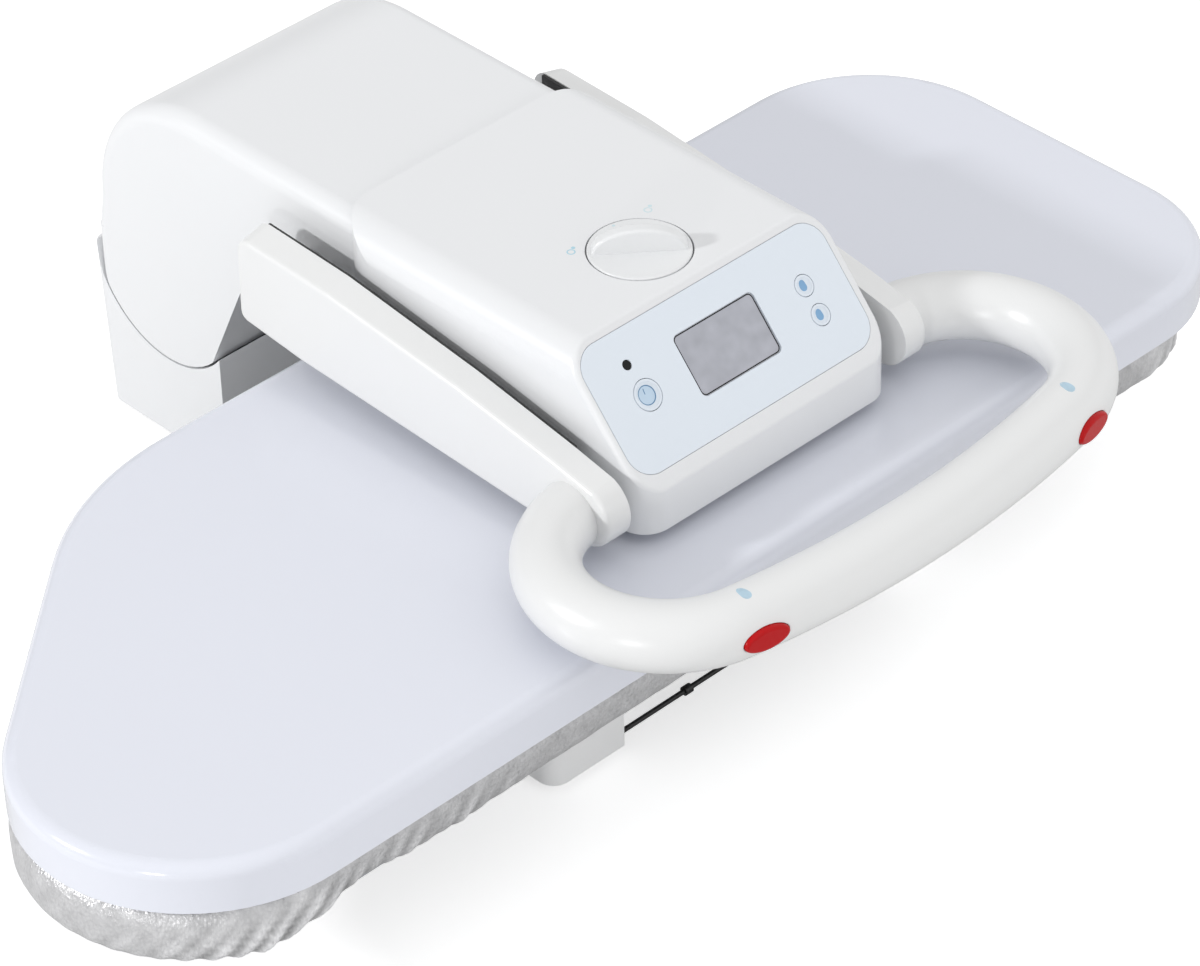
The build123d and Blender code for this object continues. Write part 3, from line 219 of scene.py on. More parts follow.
def weave_group():
    """Plain weave on the cloth's own flat coordinates, with the crinkle of its metal film."""
    group, start, end = new_group(
        "metallised_weave",
        [("Vector", VECTOR, None), ("Thread Pitch", FLOAT, 0.0006), ("Crinkle Size", FLOAT, 700.0)],
        [("Height", FLOAT), ("Thread", FLOAT), ("Crinkle", FLOAT)],
    )
    link = group.links.new
    split = new_node(group, "ShaderNodeSeparateXYZ", (-700, 200))
    link(start.outputs["Vector"], split.inputs[0])
    turns = new_node(group, "ShaderNodeMath", (-700, 0), operation="DIVIDE")
    turns.inputs[0].default_value = pi
    link(start.outputs["Thread Pitch"], turns.inputs[1])
    threads = []
    for row, axis in enumerate("XY"):
        phase = new_node(group, "ShaderNodeMath", (-500, 220 - 160 * row), operation="MULTIPLY")
        link(split.outputs[axis], phase.inputs[0])
        link(turns.outputs[0], phase.inputs[1])
        swing = new_node(group, "ShaderNodeMath", (-330, 220 - 160 * row), operation="SINE")
        link(phase.outputs[0], swing.inputs[0])
        threads.append(swing)
    cross = new_node(group, "ShaderNodeMath", (-150, 150), operation="MULTIPLY")
    link(threads[0].outputs[0], cross.inputs[0])
    link(threads[1].outputs[0], cross.inputs[1])
    thread = new_node(group, "ShaderNodeMath", (20, 150), operation="MULTIPLY_ADD")
    link(cross.outputs[0], thread.inputs[0])
    thread.inputs[1].default_value = 0.5
    thread.inputs[2].default_value = 0.5
    crinkle = new_node(group, "ShaderNodeTexVoronoi", (-330, -160), feature="SMOOTH_F1")
    set_inputs(crinkle, Smoothness=0.7, Randomness=1.0)
    link(start.outputs["Vector"], crinkle.inputs["Vector"])
    link(start.outputs["Crinkle Size"], crinkle.inputs["Scale"])
    soft = new_node(group, "ShaderNodeTexNoise", (-330, -420))
    set_inputs(soft, Scale=420.0, Detail=4.0, Roughness=0.6)
    link(start.outputs["Vector"], soft.inputs["Vector"])
    folds = new_node(group, "ShaderNodeMath", (-100, -200), operation="MULTIPLY")
    link(crinkle.outputs["Distance"], folds.inputs[0])
    link(soft.outputs["Fac"], folds.inputs[1])
    height = new_node(group, "ShaderNodeMath", (220, 0), operation="MULTIPLY_ADD")
    link(thread.outputs[0], height.inputs[0])
    height.inputs[1].default_value = 0.05
    link(folds.outputs[0], height.inputs[2])
    link(height.outputs[0], end.inputs["Height"])
    link(thread.outputs[0], end.inputs["Thread"])
    link(folds.outputs[0], end.inputs["Crinkle"])
    return group


TONE = tone_group()
SKIN = skin_group()
BRUSHED = brushed_group()
WEAVE = weave_group()


def new_material(name):
    """Material with a Principled shader; returns it with its tree and shader."""
    material = bpy.data.materials.new(name)
    material.use_nodes = True
    tree = material.node_tree
    tree.nodes.clear()
    shader = new_node(tree, "ShaderNodeBsdfPrincipled", (300, 0))
    output = new_node(tree, "ShaderNodeOutputMaterial", (600, 0))
    tree.links.new(shader.outputs["BSDF"], output.inputs["Surface"])
    return material, tree, shader


def place_group(tree, group, place, **values):
    """Group node in a material, with its sockets set."""
    node = new_node(tree, "ShaderNodeGroup", place, node_tree=group)
    return set_inputs(node, **values)


def moulded(name, colour, roughness, *, drift=0.015, drift_size=7.0, speckle=0.006, wave=0.5,
            wave_size=45.0, grain=0.25, grain_size=1400.0, bump=0.05, spread=0.06, coat=0.0,
            coat_roughness=0.05, specular=0.5):
    """Plastic, paint, rubber or foam: drifting tone, moulded skin and its own gloss."""
    material, tree, shader = new_material(name)
    link = tree.links.new
    where = new_node(tree, "ShaderNodeTexCoord", (-900, 0))
    tone = place_group(tree, TONE, (-600, 160), Colour=(*colour, 1.0), Drift=drift,
                       Drift_Size=drift_size, Speckle=speckle)
    skin = place_group(tree, SKIN, (-600, -160), Wave=wave, Wave_Size=wave_size, Grain=grain,
                       Grain_Size=grain_size, Roughness=roughness, Spread=spread)
    relief = new_node(tree, "ShaderNodeBump", (-100, -260))
    set_inputs(relief, Strength=bump, Distance=0.001)
    for group in (tone, skin):
        link(where.outputs["Object"], group.inputs["Vector"])
    link(tone.outputs["Colour"], shader.inputs["Base Color"])
    link(skin.outputs["Roughness"], shader.inputs["Roughness"])
    link(skin.outputs["Height"], relief.inputs["Height"])
    link(relief.outputs["Normal"], shader.inputs["Normal"])
    set_inputs(shader, Coat_Weight=coat, Coat_Roughness=coat_roughness, Specular_IOR_Level=specular)
    return material


def metal(name, colour, roughness, *, line_size=900.0, turn=0.0, bump=0.08, spread=0.12, drift=0.05):
    """Bare metal with fine lines left by drawing, turning or grinding."""
    material, tree, shader = new_material(name)
    link = tree.links.new
    where = new_node(tree, "ShaderNodeTexCoord", (-1100, 0))
    along = new_node(tree, "ShaderNodeMapping", (-900, -160))
    along.inputs["Rotation"].default_value = (0.0, 0.0, turn)
    tone = place_group(tree, TONE, (-600, 160), Colour=(*colour, 1.0), Drift=drift, Speckle=0.03)
    lines = place_group(tree, BRUSHED, (-600, -160), Line_Size=line_size, Roughness=roughness, Spread=spread)
    relief = new_node(tree, "ShaderNodeBump", (-100, -260))
    set_inputs(relief, Strength=bump, Distance=0.0004)
    link(where.outputs["Object"], along.inputs["Vector"])
    link(where.outputs["Object"], tone.inputs["Vector"])
    link(along.outputs["Vector"], lines.inputs["Vector"])
    link(tone.outputs["Colour"], shader.inputs["Base Color"])
    link(lines.outputs["Roughness"], shader.inputs["Roughness"])
    link(lines.outputs["Height"], relief.inputs["Height"])
    link(relief.outputs["Normal"], shader.inputs["Normal"])
    set_inputs(shader, Metallic=1.0)
    return material


def silver_cloth():
    """Metallised cloth: crinkled metal glints on a grey weave, with painted shade in the valleys of its
    folds and a painted highlight on their crests.
    """
    material, tree, shader = new_material("silver_cloth")
    link = tree.links.new
    flat = new_node(tree, "ShaderNodeUVMap", (-1000, 0), uv_map="cut")
    weave = place_group(tree, WEAVE, (-780, 0))
    tone = place_group(tree, TONE, (-780, 260), Colour=(0.69, 0.69, 0.70, 1.0), Drift=0.05,
                       Drift_Size=90.0, Speckle=0.06, Speckle_Size=1500.0)
    shade = new_node(tree, "ShaderNodeMix", (-300, 260), data_type="RGBA", blend_type="MULTIPLY")
    shade.inputs["B"].default_value = (0.62, 0.62, 0.63, 1.0)
    # Painted shade and highlight: the fold attribute scales the colour, darker in fold valleys and lighter
    # on fold crests.
    fold = new_node(tree, "ShaderNodeAttribute", (-500, 460), attribute_name="fold",
                    attribute_type="GEOMETRY")
    fold_shade_scale = new_node(tree, "ShaderNodeMapRange", (-300, 460))
    set_inputs(fold_shade_scale, To_Min=0.12, To_Max=1.40)
    fold_shaded_colour = new_node(tree, "ShaderNodeVectorMath", (-120, 360), operation="SCALE")
    rough = new_node(tree, "ShaderNodeMapRange", (-300, 0))
    set_inputs(rough, To_Min=0.30, To_Max=0.46)
    relief = new_node(tree, "ShaderNodeBump", (-100, -260))
    set_inputs(relief, Strength=0.8, Distance=0.0010)
    link(flat.outputs["UV"], weave.inputs["Vector"])
    link(flat.outputs["UV"], tone.inputs["Vector"])
    link(tone.outputs["Colour"], shade.inputs["A"])
    link(weave.outputs["Crinkle"], shade.inputs["Factor"])
    link(fold.outputs["Fac"], fold_shade_scale.inputs["Value"])
    link(shade.outputs["Result"], fold_shaded_colour.inputs[0])
    link(fold_shade_scale.outputs["Result"], fold_shaded_colour.inputs["Scale"])
    link(fold_shaded_colour.outputs["Vector"], shader.inputs["Base Color"])
    link(weave.outputs["Thread"], rough.inputs["Value"])
    link(rough.outputs["Result"], shader.inputs["Roughness"])
    link(weave.outputs["Height"], relief.inputs["Height"])
    link(relief.outputs["Normal"], shader.inputs["Normal"])
    set_inputs(shader, Metallic=0.50, Specular_IOR_Level=0.5)
    return material


# The whites stay rougher than 0.28: near 0.27 the denoiser reads a surface in two ways and draws lines.
FINISHES = {
    "housing_white": moulded("housing_white", (0.80, 0.81, 0.825), 0.31, coat=0.2,
                             coat_roughness=0.28, bump=0.03),
    "arm_white": moulded("arm_white", (0.79, 0.795, 0.795), 0.31, coat=0.2, coat_roughness=0.26,
                         bump=0.03),
    "cover_lacquer": moulded("cover_lacquer", (0.745, 0.765, 0.84), 0.20, coat=0.5, bump=0.03,
                             wave=0.8, wave_size=18.0),
    "knob_white": moulded("knob_white", (0.79, 0.80, 0.81), 0.30, coat=0.15, bump=0.04),
    "panel_film": moulded("panel_film", (0.765, 0.825, 0.895), 0.30, coat=0.2, coat_roughness=0.15,
                          bump=0.03),
    "display_glass": moulded("display_glass", (0.42, 0.43, 0.48), 0.24, coat=0.2, drift=0.35,
                             drift_size=130.0, bump=0.02),
    "black_lens": moulded("black_lens", (0.006, 0.006, 0.006), 0.12, coat=0.15, specular=0.15,
                          bump=0.02),
    "button_red": moulded("button_red", (0.47, 0.001, 0.003), 0.24, coat=0.12, specular=0.15,
                          bump=0.03),
    "foam": moulded("foam", (0.72, 0.69, 0.58), 0.9, wave=0.4, grain=1.0, grain_size=700.0, bump=0.6,
                    drift=0.08, speckle=0.10, specular=0.2),
    "sheet_steel": moulded("sheet_steel", (0.34, 0.35, 0.37), 0.42, bump=0.10, grain=0.7, drift=0.04,
                           speckle=0.03),
    "bright_steel": metal("bright_steel", (0.60, 0.60, 0.61), 0.24),
    "black_steel": moulded("black_steel", (0.012, 0.012, 0.013), 0.33, bump=0.08, grain=0.6,
                           drift=0.1),
    "plate_aluminium": metal("plate_aluminium", (0.66, 0.67, 0.68), 0.30, line_size=520.0, turn=0.06),
    "brass": metal("brass", (0.60, 0.41, 0.14), 0.21, turn=pi / 2),
    "rubber": moulded("rubber", (0.022, 0.022, 0.022), 0.75, bump=0.2, grain=0.9, drift=0.15,
                      specular=0.3),
    "grey_plastic": moulded("grey_plastic", (0.055, 0.058, 0.062), 0.5, bump=0.12, grain=0.7,
                            drift=0.06),
    "tank_plastic": moulded("tank_plastic", (0.72, 0.76, 0.80), 0.38, bump=0.08, drift=0.03),
    "board_green": moulded("board_green", (0.010, 0.085, 0.030), 0.35, bump=0.12, drift=0.12,
                           coat=0.3),
    "silver_cloth": silver_cloth(),
}

# Painted light: the front feet get a brighter copy of the housing white, standing in for the light the white
# floor bounces onto them in the board's shade.
FOOT_LIT_WHITE = moulded("foot_lit_white", (0.93, 0.935, 0.94), 0.30, coat=0.1, bump=0.04)

for name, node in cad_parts.items():
    for place in node.material_slots:
        finish = place.material.name.split(".")[0]
        if finish in FINISHES:
            place.material = FOOT_LIT_WHITE if name.startswith("front_foot") else FINISHES[finish]
        else:
            print("no finish for", name, place.material.name)


def new_piece(name, bm, material=None):
    """Object at the origin made of a bmesh, which is freed, with its material."""
    mesh = bpy.data.meshes.new(name)
    bm.to_mesh(mesh)
    bm.free()
    if material is not None:
        mesh.materials.append(material)
    piece = bpy.data.objects.new(name, mesh)
    bpy.context.scene.collection.objects.link(piece)
    return piece


# ---------------------------------------------------------------- board: foam pad and silver cover
COVER_LOW, COVER_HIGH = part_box("board_cover")
PAD_LOW, PAD_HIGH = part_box("board_pad")
NOSE_RADIUS = 82 * MM
FRONT_RADIUS = 66 * MM
REAR_RADIUS = 76 * MM
SHOULDER_RADIUS = 141 * MM
NOSE_ANGLE = radians(41)
TOP_ROUND = 8.5 * MM
LOW_ROUND = 6.0 * MM
HEM_WIDTH = 26 * MM

CLOTH_STEP = 1.9 * MM
CLOTH_THICKNESS = 0.5 * MM
CLOTH_SLACK = 8 * MM
GATHER_SHARE = 0.10
LONGEST_MOVE = 6 * MM
FLAT_ROWS = 5

NOSE_SAG = 7.5 * MM
HEM_PULL = 5.0 * MM
HEM_PULL_PLACE = -0.243
HEM_PULL_WIDTH = 0.022
FRONT_GAP = 3.0 * MM
FRONT_EDGE = -0.14

FOLD_PITCH = 0.0115
FOLD_DEPTH = 4.2 * MM
FOLD_SLANT = 0.9
UNEVENNESS = 0.4 * MM

SIM_SCALE = 10.0
SIM_FRAMES = 24
SIM_GAP = 0.004


def board_corners():
    """Corner arcs, anticlockwise from the front straight: middle, radius, first and last angle."""
    low, high = COVER_LOW, COVER_HIGH
    normal = Vector((cos(pi / 2 + NOSE_ANGLE), sin(pi / 2 + NOSE_ANGLE)))
    nose = Vector((low.x + NOSE_RADIUS, low.y + NOSE_RADIUS))
    shoulder_y = high.y - SHOULDER_RADIUS
    reach = normal.dot(nose) + NOSE_RADIUS - SHOULDER_RADIUS - normal.y * shoulder_y
    return (
        (Vector((high.x - FRONT_RADIUS, low.y + FRONT_RADIUS)), FRONT_RADIUS, -pi / 2, 0.0),
        (Vector((high.x - REAR_RADIUS, high.y - REAR_RADIUS)), REAR_RADIUS, 0.0, pi / 2),
        (Vector((reach / normal.x, shoulder_y)), SHOULDER_RADIUS, pi / 2, pi / 2 + NOSE_ANGLE),
        (nose, NOSE_RADIUS, pi / 2 + NOSE_ANGLE, 3 * pi / 2),
    )


def board_ring(inset, step):
    """Points round the board at an inset from its edge; the step only sets how many there are."""
    corners = board_corners()
    points = []
    for index, (middle, radius, first, last) in enumerate(corners):
        count = max(2, round(radius * (last - first) / step))
        for number in range(count):
            angle = first + (last - first) * number / count
            points.append(middle + (radius - inset) * Vector((cos(angle), sin(angle))))
        after, after_radius = corners[(index + 1) % len(corners)][:2]
        across = Vector((cos(last), sin(last)))
        start_point = middle + (radius - inset) * across
        end_point = after + (after_radius - inset) * across
        length = ((after + after_radius * across) - (middle + radius * across)).length
        count = max(2, round(length / step))
        points.extend(start_point.lerp(end_point, number / count) for number in range(count))
    return points


def arc_stations(middle, radius, first, last, count):
    """Points of a profile's arc as (inset, height)."""
    return [
        (middle[0] - radius * cos(first + (last - first) * n / count),
         middle[1] + radius * sin(first + (last - first) * n / count))
        for n in range(count + 1)
    ]


def cloth_profile(top, bottom, bulge):
    """Section of the cover from its flat top over the edge and under the board, as (inset, height)."""
    over = arc_stations((TOP_ROUND - bulge, top - TOP_ROUND), TOP_ROUND, pi / 2, 0.0, 5)
    under = arc_stations((LOW_ROUND - bulge, bottom + LOW_ROUND), LOW_ROUND, 0.0, -pi / 2, 5)
    side = [((over[-1][0] + under[0][0]) / 2, over[-1][1] + (under[0][1] - over[-1][1]) * n / 3)
            for n in (1, 2)]
    hem_start = under[-1][0]
    hem = [(hem_start + (HEM_WIDTH - hem_start) * n / 6, bottom) for n in range(1, 7)]
    flat = [(inset * MM, top) for inset in (58.0, 42.0, 28.0, 17.0)]
    return flat + over + side + under + hem


def eased(value, start, end):
    """Smooth rise from 0 to 1 between two values."""
    share = max(0.0, min(1.0, (value - start) / (end - start)))
    return share * share * (3.0 - 2.0 * share)


def cover_shape(point, height):
    """Height on the cover after its sag at the nose, the pull of its folds and its dip at the front."""
    top, bottom = COVER_HIGH.z, COVER_LOW.z
    down = (top - height) / (top - bottom)
    nose = board_corners()[-1][0]
    sag = NOSE_SAG * eased(-point.x, -nose.x - 0.030, -nose.x + 0.040)
    sag *= eased(-point.x * 0.6 - point.y * 0.8, 0.17, 0.26)
    pull = gap = 0.0
    if point.y < FRONT_EDGE:
        pull = HEM_PULL * exp(-((point.x - HEM_PULL_PLACE) / HEM_PULL_WIDTH) ** 2)
        gap = FRONT_GAP * eased(point.x, -0.20, 0.0) * exp(-(max(0.0, point.x - 0.06) / 0.10) ** 2)
    return height - down * (sag - pull) - gap * (1.0 - down)


def swept_rings(bm, stations, step, closed=False):
    """Skin through rings of the board's outline, one for each station of a profile."""
    shaped_width = HEM_WIDTH + 1 * MM
    rings = []
    for inset, height in stations:
        rings.append([
            bm.verts.new((p.x, p.y, cover_shape(p, height) if inset < shaped_width else height))
            for p in board_ring(inset, step)
        ])
    for upper, lower in zip(rings, rings[1:]):
        for n in range(len(upper)):
            bm.faces.new((upper[n - 1], lower[n - 1], lower[n], upper[n]))
    if closed:
        bm.faces.new(rings[0])
        bm.faces.new(list(reversed(rings[-1])))
    return rings


def run_lengths(stations):
    """Length along a profile from where its flat top ends."""
    lengths = [0.0]
    for (a, b), (c, d) in zip(stations, stations[1:]):
        lengths.append(lengths[-1] + sqrt((a - c) ** 2 + (b - d) ** 2))
    return [length - lengths[FLAT_ROWS - 1] for length in lengths]


def flat_cut(stations, step, slack=0.0):
    """Where each point of the cover lies in its flat cut; slack lengthens it towards the nose."""
    start = stations[FLAT_ROWS - 1][0]
    rows = []
    for length, (inset, _) in zip(run_lengths(stations), stations):
        share = max(0.0, min(1.0, length / (30 * MM)))
        row = []
        for p in board_ring(start - length, step):
            along = max(0.0, min(1.0, (-40 * MM - p.x) / (210 * MM)))
            row.append(Vector((p.x - slack * share * along, p.y)))
        rows.append(row)
    return rows


def simulate_cover(cover, rest, pinned, filler):
    """Pulls the slack cloth tight over the board between its pinned rows and keeps the folds that form."""
    start = [v.co.copy() for v in cover.data.vertices]
    for v in cover.data.vertices:
        v.co *= SIM_SCALE
    cover.shape_key_add(name="Basis")
    cut = cover.shape_key_add(name="cut")
    for point, place in zip(cut.data, rest):
        point.co = place * SIM_SCALE
    cover.vertex_groups.new(name="held").add(pinned, 1.0, "REPLACE")
    filler.data.transform(Matrix.Scale(SIM_SCALE, 4))
    filler.modifiers.new("wall", "COLLISION")
    filler.collision.thickness_outer = SIM_GAP
    filler.collision.cloth_friction = 2.0
    cloth = cover.modifiers.new("cloth", "CLOTH")
    facts = cloth.settings
    facts.quality = 6
    facts.mass = 0.2
    facts.air_damping = 2.0
    facts.tension_stiffness = 25.0
    facts.compression_stiffness = 25.0
    facts.shear_stiffness = 8.0
    facts.bending_stiffness = 0.6
    facts.vertex_group_mass = "held"
    facts.pin_stiffness = 10.0
    facts.rest_shape_key = cut
    facts.effector_weights.gravity = 0.0
    cloth.collision_settings.distance_min = SIM_GAP
    cloth.collision_settings.collision_quality = 3
    cloth.collision_settings.use_self_collision = False
    scene = bpy.context.scene
    scene.frame_start, scene.frame_end = 1, SIM_FRAMES
    cloth.point_cache.frame_start, cloth.point_cache.frame_end = 1, SIM_FRAMES
    for number in range(1, SIM_FRAMES + 1):
        scene.frame_set(number)
    shaped = cover.evaluated_get(bpy.context.evaluated_depsgraph_get())
    settled = [v.co / SIM_SCALE for v in shaped.data.vertices]
    cover.modifiers.remove(cloth)
    cover.shape_key_clear()
    cover.vertex_groups.clear()
    scene.frame_set(1)
    for v, before, after in zip(cover.data.vertices, start, settled):
        move = after - before
        if move.length > LONGEST_MOVE:
            move *= LONGEST_MOVE / move.length
        v.co = before + move
        v.co.z = min(v.co.z, before.z + 0.5 * MM, COVER_HIGH.z)


def settle_cloth(cover, stations, cut, count):
    """Simulates the cover over a filler of the board's shape, with slack towards the nose."""
    slack_cut = flat_cut(stations, CLOTH_STEP, slack=CLOTH_SLACK)
    rest = []
    for row in range(len(stations)):
        for n in range(count):
            v = cover.data.vertices[row * count + n].co
            flat = slack_cut[row][n]
            drawn = cut[row][n]
            rest.append(Vector((
                v.x + GATHER_SHARE * (drawn.x - v.x) + (flat.x - drawn.x),
                v.y + GATHER_SHARE * (drawn.y - v.y) + (flat.y - drawn.y),
                v.z,
            )))
    last = len(stations) - 1
    pinned = [row * count + n for row in (*range(FLAT_ROWS), last - 1, last) for n in range(count)]
    bm = bmesh.new()
    middle = (COVER_HIGH.z + COVER_LOW.z) / 2
    inner = [(inset + 0.9 * MM, middle + 0.93 * (height - middle)) for inset, height in stations]
    swept_rings(bm, inner, 8 * MM, closed=True)
    filler = new_piece("filler", bm)
    body = filler.data
    simulate_cover(cover, rest, pinned, filler)
    bpy.data.objects.remove(filler)
    bpy.data.meshes.remove(body)


def fold_height(point, run):
    """Height of the started folds, slanted and deepest at the front of the nose and at the corners."""
    nose = board_corners()[-1][0]
    high = COVER_HIGH
    start = exp(-((point.x - nose.x + 0.028) / 0.034) ** 2) if point.y < nose.y else 0.0
    tail = 0.5 * eased(-point.x, 0.12, 0.20) if point.y < -0.15 else 0.0
    corner = exp(-((point.x - high.x + 0.02) / 0.035) ** 2) * (0.5 + 0.3 * (point.y < -0.12))
    shoulder = 0.35 if point.y > high.y - 0.06 and point.x < 0.02 else 0.0
    size = max(start, tail, corner, shoulder)
    slant = (high.z - point.z) * FOLD_SLANT
    wander = 0.35 * noise.noise(Vector((run * 28.0, 1.7, 0.0)))
    wave = 0.5 + 0.5 * sin(2 * pi * ((run + slant) / FOLD_PITCH + wander))
    strength = 0.65 + 0.7 * noise.noise(Vector((run * 60.0, 5.1, 0.0)))
    return FOLD_DEPTH * size * max(0.3, strength) * wave ** 1.3


def start_folds(rings, stations):
    """Lifts the cover into shallow folds where its hem is drawn together; the rest is faintly uneven."""
    lengths = run_lengths(stations)
    for row in range(FLAT_ROWS, len(rings) - 1):
        depth = eased(lengths[row], 6 * MM, 26 * MM) * (1.0 - eased(lengths[row], 40 * MM, 52 * MM))
        for n, v in enumerate(rings[row]):
            fold = depth * fold_height(v.co, n * CLOTH_STEP)
            v.co += v.normal * (fold + UNEVENNESS * noise.noise(v.co * 120.0))


def ring_points(mesh, row, count):
    """Places of one ring of the cover."""
    return [mesh.vertices[row * count + n].co.copy() for n in range(count)]


def even_out(mesh, rows, count):
    """Takes out the kinks that are finer than the cloth's own stiffness would leave."""
    for _ in range(2):
        for row in range(FLAT_ROWS, rows - 2):
            ring = ring_points(mesh, row, count)
            for n in range(count):
                place = 0.5 * ring[n] + 0.25 * (ring[n - 1] + ring[(n + 1) % count])
                mesh.vertices[row * count + n].co = place


def store_fold_shade(mesh, rows, count):
    """Keeps how far each point stands out of its ring, for the painted shade in the valleys of the folds and
    the painted highlight on their crests.
    """
    fold_shade_values = mesh.attributes.new("fold", "FLOAT", "POINT")
    reach = 5
    for row in range(rows):
        ring = ring_points(mesh, row, count)
        for n in range(count):
            near = sum((ring[(n + k) % count] for k in range(-reach, reach + 1)), Vector())
            near /= 2 * reach + 1
            out = (ring[n] - near).dot(mesh.vertices[row * count + n].normal)
            fold_shade_values.data[row * count + n].value = max(0.0, min(1.0, 0.55 + out / (2.0 * MM)))


def build_cloth():
    """Silver cover drawn over the pad, gathered round the nose and the corners."""
    stations = cloth_profile(COVER_HIGH.z, COVER_LOW.z, 0.6 * MM)
    bm = bmesh.new()
    rings = swept_rings(bm, stations, CLOTH_STEP)
    bm.verts.index_update()
    bm.normal_update()
    count = len(rings[0])
    start_folds(rings, stations)
    cover = new_piece("board_cloth", bm)
    cut = flat_cut(stations, CLOTH_STEP)
    settle_cloth(cover, stations, cut, count)
    even_out(cover.data, len(stations), count)
    store_fold_shade(cover.data, len(stations), count)
    finish_cloth(cover, cut, count)


def finish_cloth(cover, cut, count):
    bm = bmesh.new()
    bm.from_mesh(cover.data)
    bm.verts.ensure_lookup_table()
    uv = bm.loops.layers.uv.new("cut")
    bm.faces.new([bm.verts[n] for n in range(count)])
    flat = [place for row in cut for place in row]
    for face in bm.faces:
        face.smooth = True
        for loop in face.loops:
            loop[uv].uv = flat[loop.vert.index]
    bmesh.ops.recalc_face_normals(bm, faces=bm.faces)
    if max(bm.faces, key=lambda face: face.calc_area()).normal.z < 0:
        bmesh.ops.reverse_faces(bm, faces=bm.faces)
    area = sum(face.calc_area() for face in bm.faces)
    bm.to_mesh(cover.data)
    bm.free()
    thick = cover.modifiers.new("thickness", "SOLIDIFY")
    thick.thickness = CLOTH_THICKNESS
    thick.offset = -1.0
    cover.data.materials.append(FINISHES["silver_cloth"])
    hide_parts("board_cover")
    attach(cover, "base")


def build_foam():
    """Foam pad on the pan: flat where the plate presses it, its edge rounded and drawn in below."""
    low, high = PAD_LOW.z, PAD_HIGH.z
    edge = 1.5 * MM
    rounding = 7 * MM
    ring_step = 7 * MM
    over = arc_stations((edge + rounding, high - rounding), rounding, pi / 2, 0.0, 5)
    stations = [(inset * MM, high) for inset in (58.0, 30.0)] + over
    stations += [(edge + 0.8 * MM, low + 1.0 * MM), (edge + 2.0 * MM, low), (30 * MM, low)]
    bm = bmesh.new()
    rings = swept_rings(bm, stations, ring_step, closed=True)
    for (_, height), ring in zip(stations, rings):
        for v in ring:
            v.co.z = min(v.co.z, height)
    bmesh.ops.recalc_face_normals(bm, faces=bm.faces)
    for face in bm.faces:
        face.smooth = True
    foam = new_piece("board_foam", bm, FINISHES["foam"])
    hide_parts("board_pad")
    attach(foam, "base")


build_foam()
build_cloth()


# ---------------------------------------------------------------- marks, painted-shade strips and small trim
def surface_of(name):
    """Ray target made of the surface of a CAD node."""
    bm = bmesh.new()
    bm.from_mesh(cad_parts[name].data)
    tree = BVHTree.FromBMesh(bm)
    bm.free()
    return tree


PRINT_LIFT = 0.05 * MM
DROP_HEIGHT = 0.02
DROP_REACH = 0.05


def printed(name, body, finish, target_node, origin, across, up, patches, lift=PRINT_LIFT):
    """Thin print on a CAD surface: each point of its patches drops onto it against the print's normal."""
    across = across.normalized()
    up = (up - across * up.dot(across)).normalized()
    normal = across.cross(up)
    target = surface_of(target_node)
    bm = bmesh.new()
    for rows in patches:
        grid = []
        for row in rows:
            line = []
            for x, y in row:
                start = origin + across * (x * MM) + up * (y * MM) + normal * DROP_HEIGHT
                hit = target.ray_cast(start, -normal, DROP_REACH)[0]
                if hit is None:
                    raise ValueError(name + " misses its surface")
                line.append(bm.verts.new(hit + normal * lift))
            grid.append(line)
        for first, second in zip(grid, grid[1:]):
            for n in range(len(first) - 1):
                bm.faces.new((first[n], first[n + 1], second[n + 1], second[n]))
    bmesh.ops.remove_doubles(bm, verts=bm.verts, dist=0.002 * MM)
    bmesh.ops.recalc_face_normals(bm, faces=bm.faces)
    bm.normal_update()
    if sum((face.normal.dot(normal) for face in bm.faces), 0.0) < 0:
        bmesh.ops.reverse_faces(bm, faces=bm.faces)
    bmesh.ops.solidify(bm, geom=bm.faces[:], thickness=2 * lift)
    piece = new_piece(name, bm, finish)
    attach(piece, body)


def ring_patch(inner, outer, place=(0.0, 0.0), steps=48, depth=1):
    """Ring or disc between two radii, which may be functions of the angle."""
    rows = []
    for n in range(steps + 1):
        angle = 2 * pi * n / steps
        first = inner(angle) if callable(inner) else inner
        last = outer(angle) if callable(outer) else outer
        rows.append([
            (place[0] + (first + (last - first) * k / depth) * cos(angle),
             place[1] + (first + (last - first) * k / depth) * sin(angle))
            for k in range(depth + 1)
        ])
    return rows


def bar_patch(x0, y0, x1, y1, steps=4):
    """Upright bar between two corners."""
    heights = [y0 + (y1 - y0) * n / steps for n in range(steps + 1)]
    return [[(x0, y), (x1, y)] for y in heights]


def drop_radius(size):
    """Outline of a water drop, pointed at the top."""
    def radius(angle):
        lean = (1.0 + sin(angle)) / 2
        return size * (1.0 + 0.75 * lean ** 6 - 0.12 * lean)
    return radius


PANEL_TILT = radians(48.5)
PANEL_UP = Vector((0.0, cos(PANEL_TILT), sin(PANEL_TILT)))
PANEL_MIDDLE = Vector((43.0, -118.4, 182.8)) * MM
RIGHT = Vector((1.0, 0.0, 0.0))


def on_panel(x, y):
    """Point on the panel at a place given in its own directions, in millimetres."""
    return PANEL_MIDDLE + RIGHT * (x * MM) + PANEL_UP * (y * MM)


INK_BLUE = moulded("ink_blue", (0.10, 0.24, 0.42), 0.35, bump=0.02, drift=0.05)
INK_SKY = moulded("ink_sky", (0.22, 0.42, 0.66), 0.35, bump=0.02, drift=0.08)
INK_PALE = moulded("ink_pale", (0.42, 0.66, 0.76), 0.35, bump=0.02, drift=0.08)
INK_FAINT = moulded("ink_faint", (0.62, 0.76, 0.80), 0.35, bump=0.02, drift=0.08)
INK_MIST = moulded("ink_mist", (0.44, 0.60, 0.71), 0.35, bump=0.02, drift=0.25, drift_size=320.0)
INK_WASH = moulded("ink_wash", (0.56, 0.70, 0.84), 0.35, bump=0.02, drift=0.05)

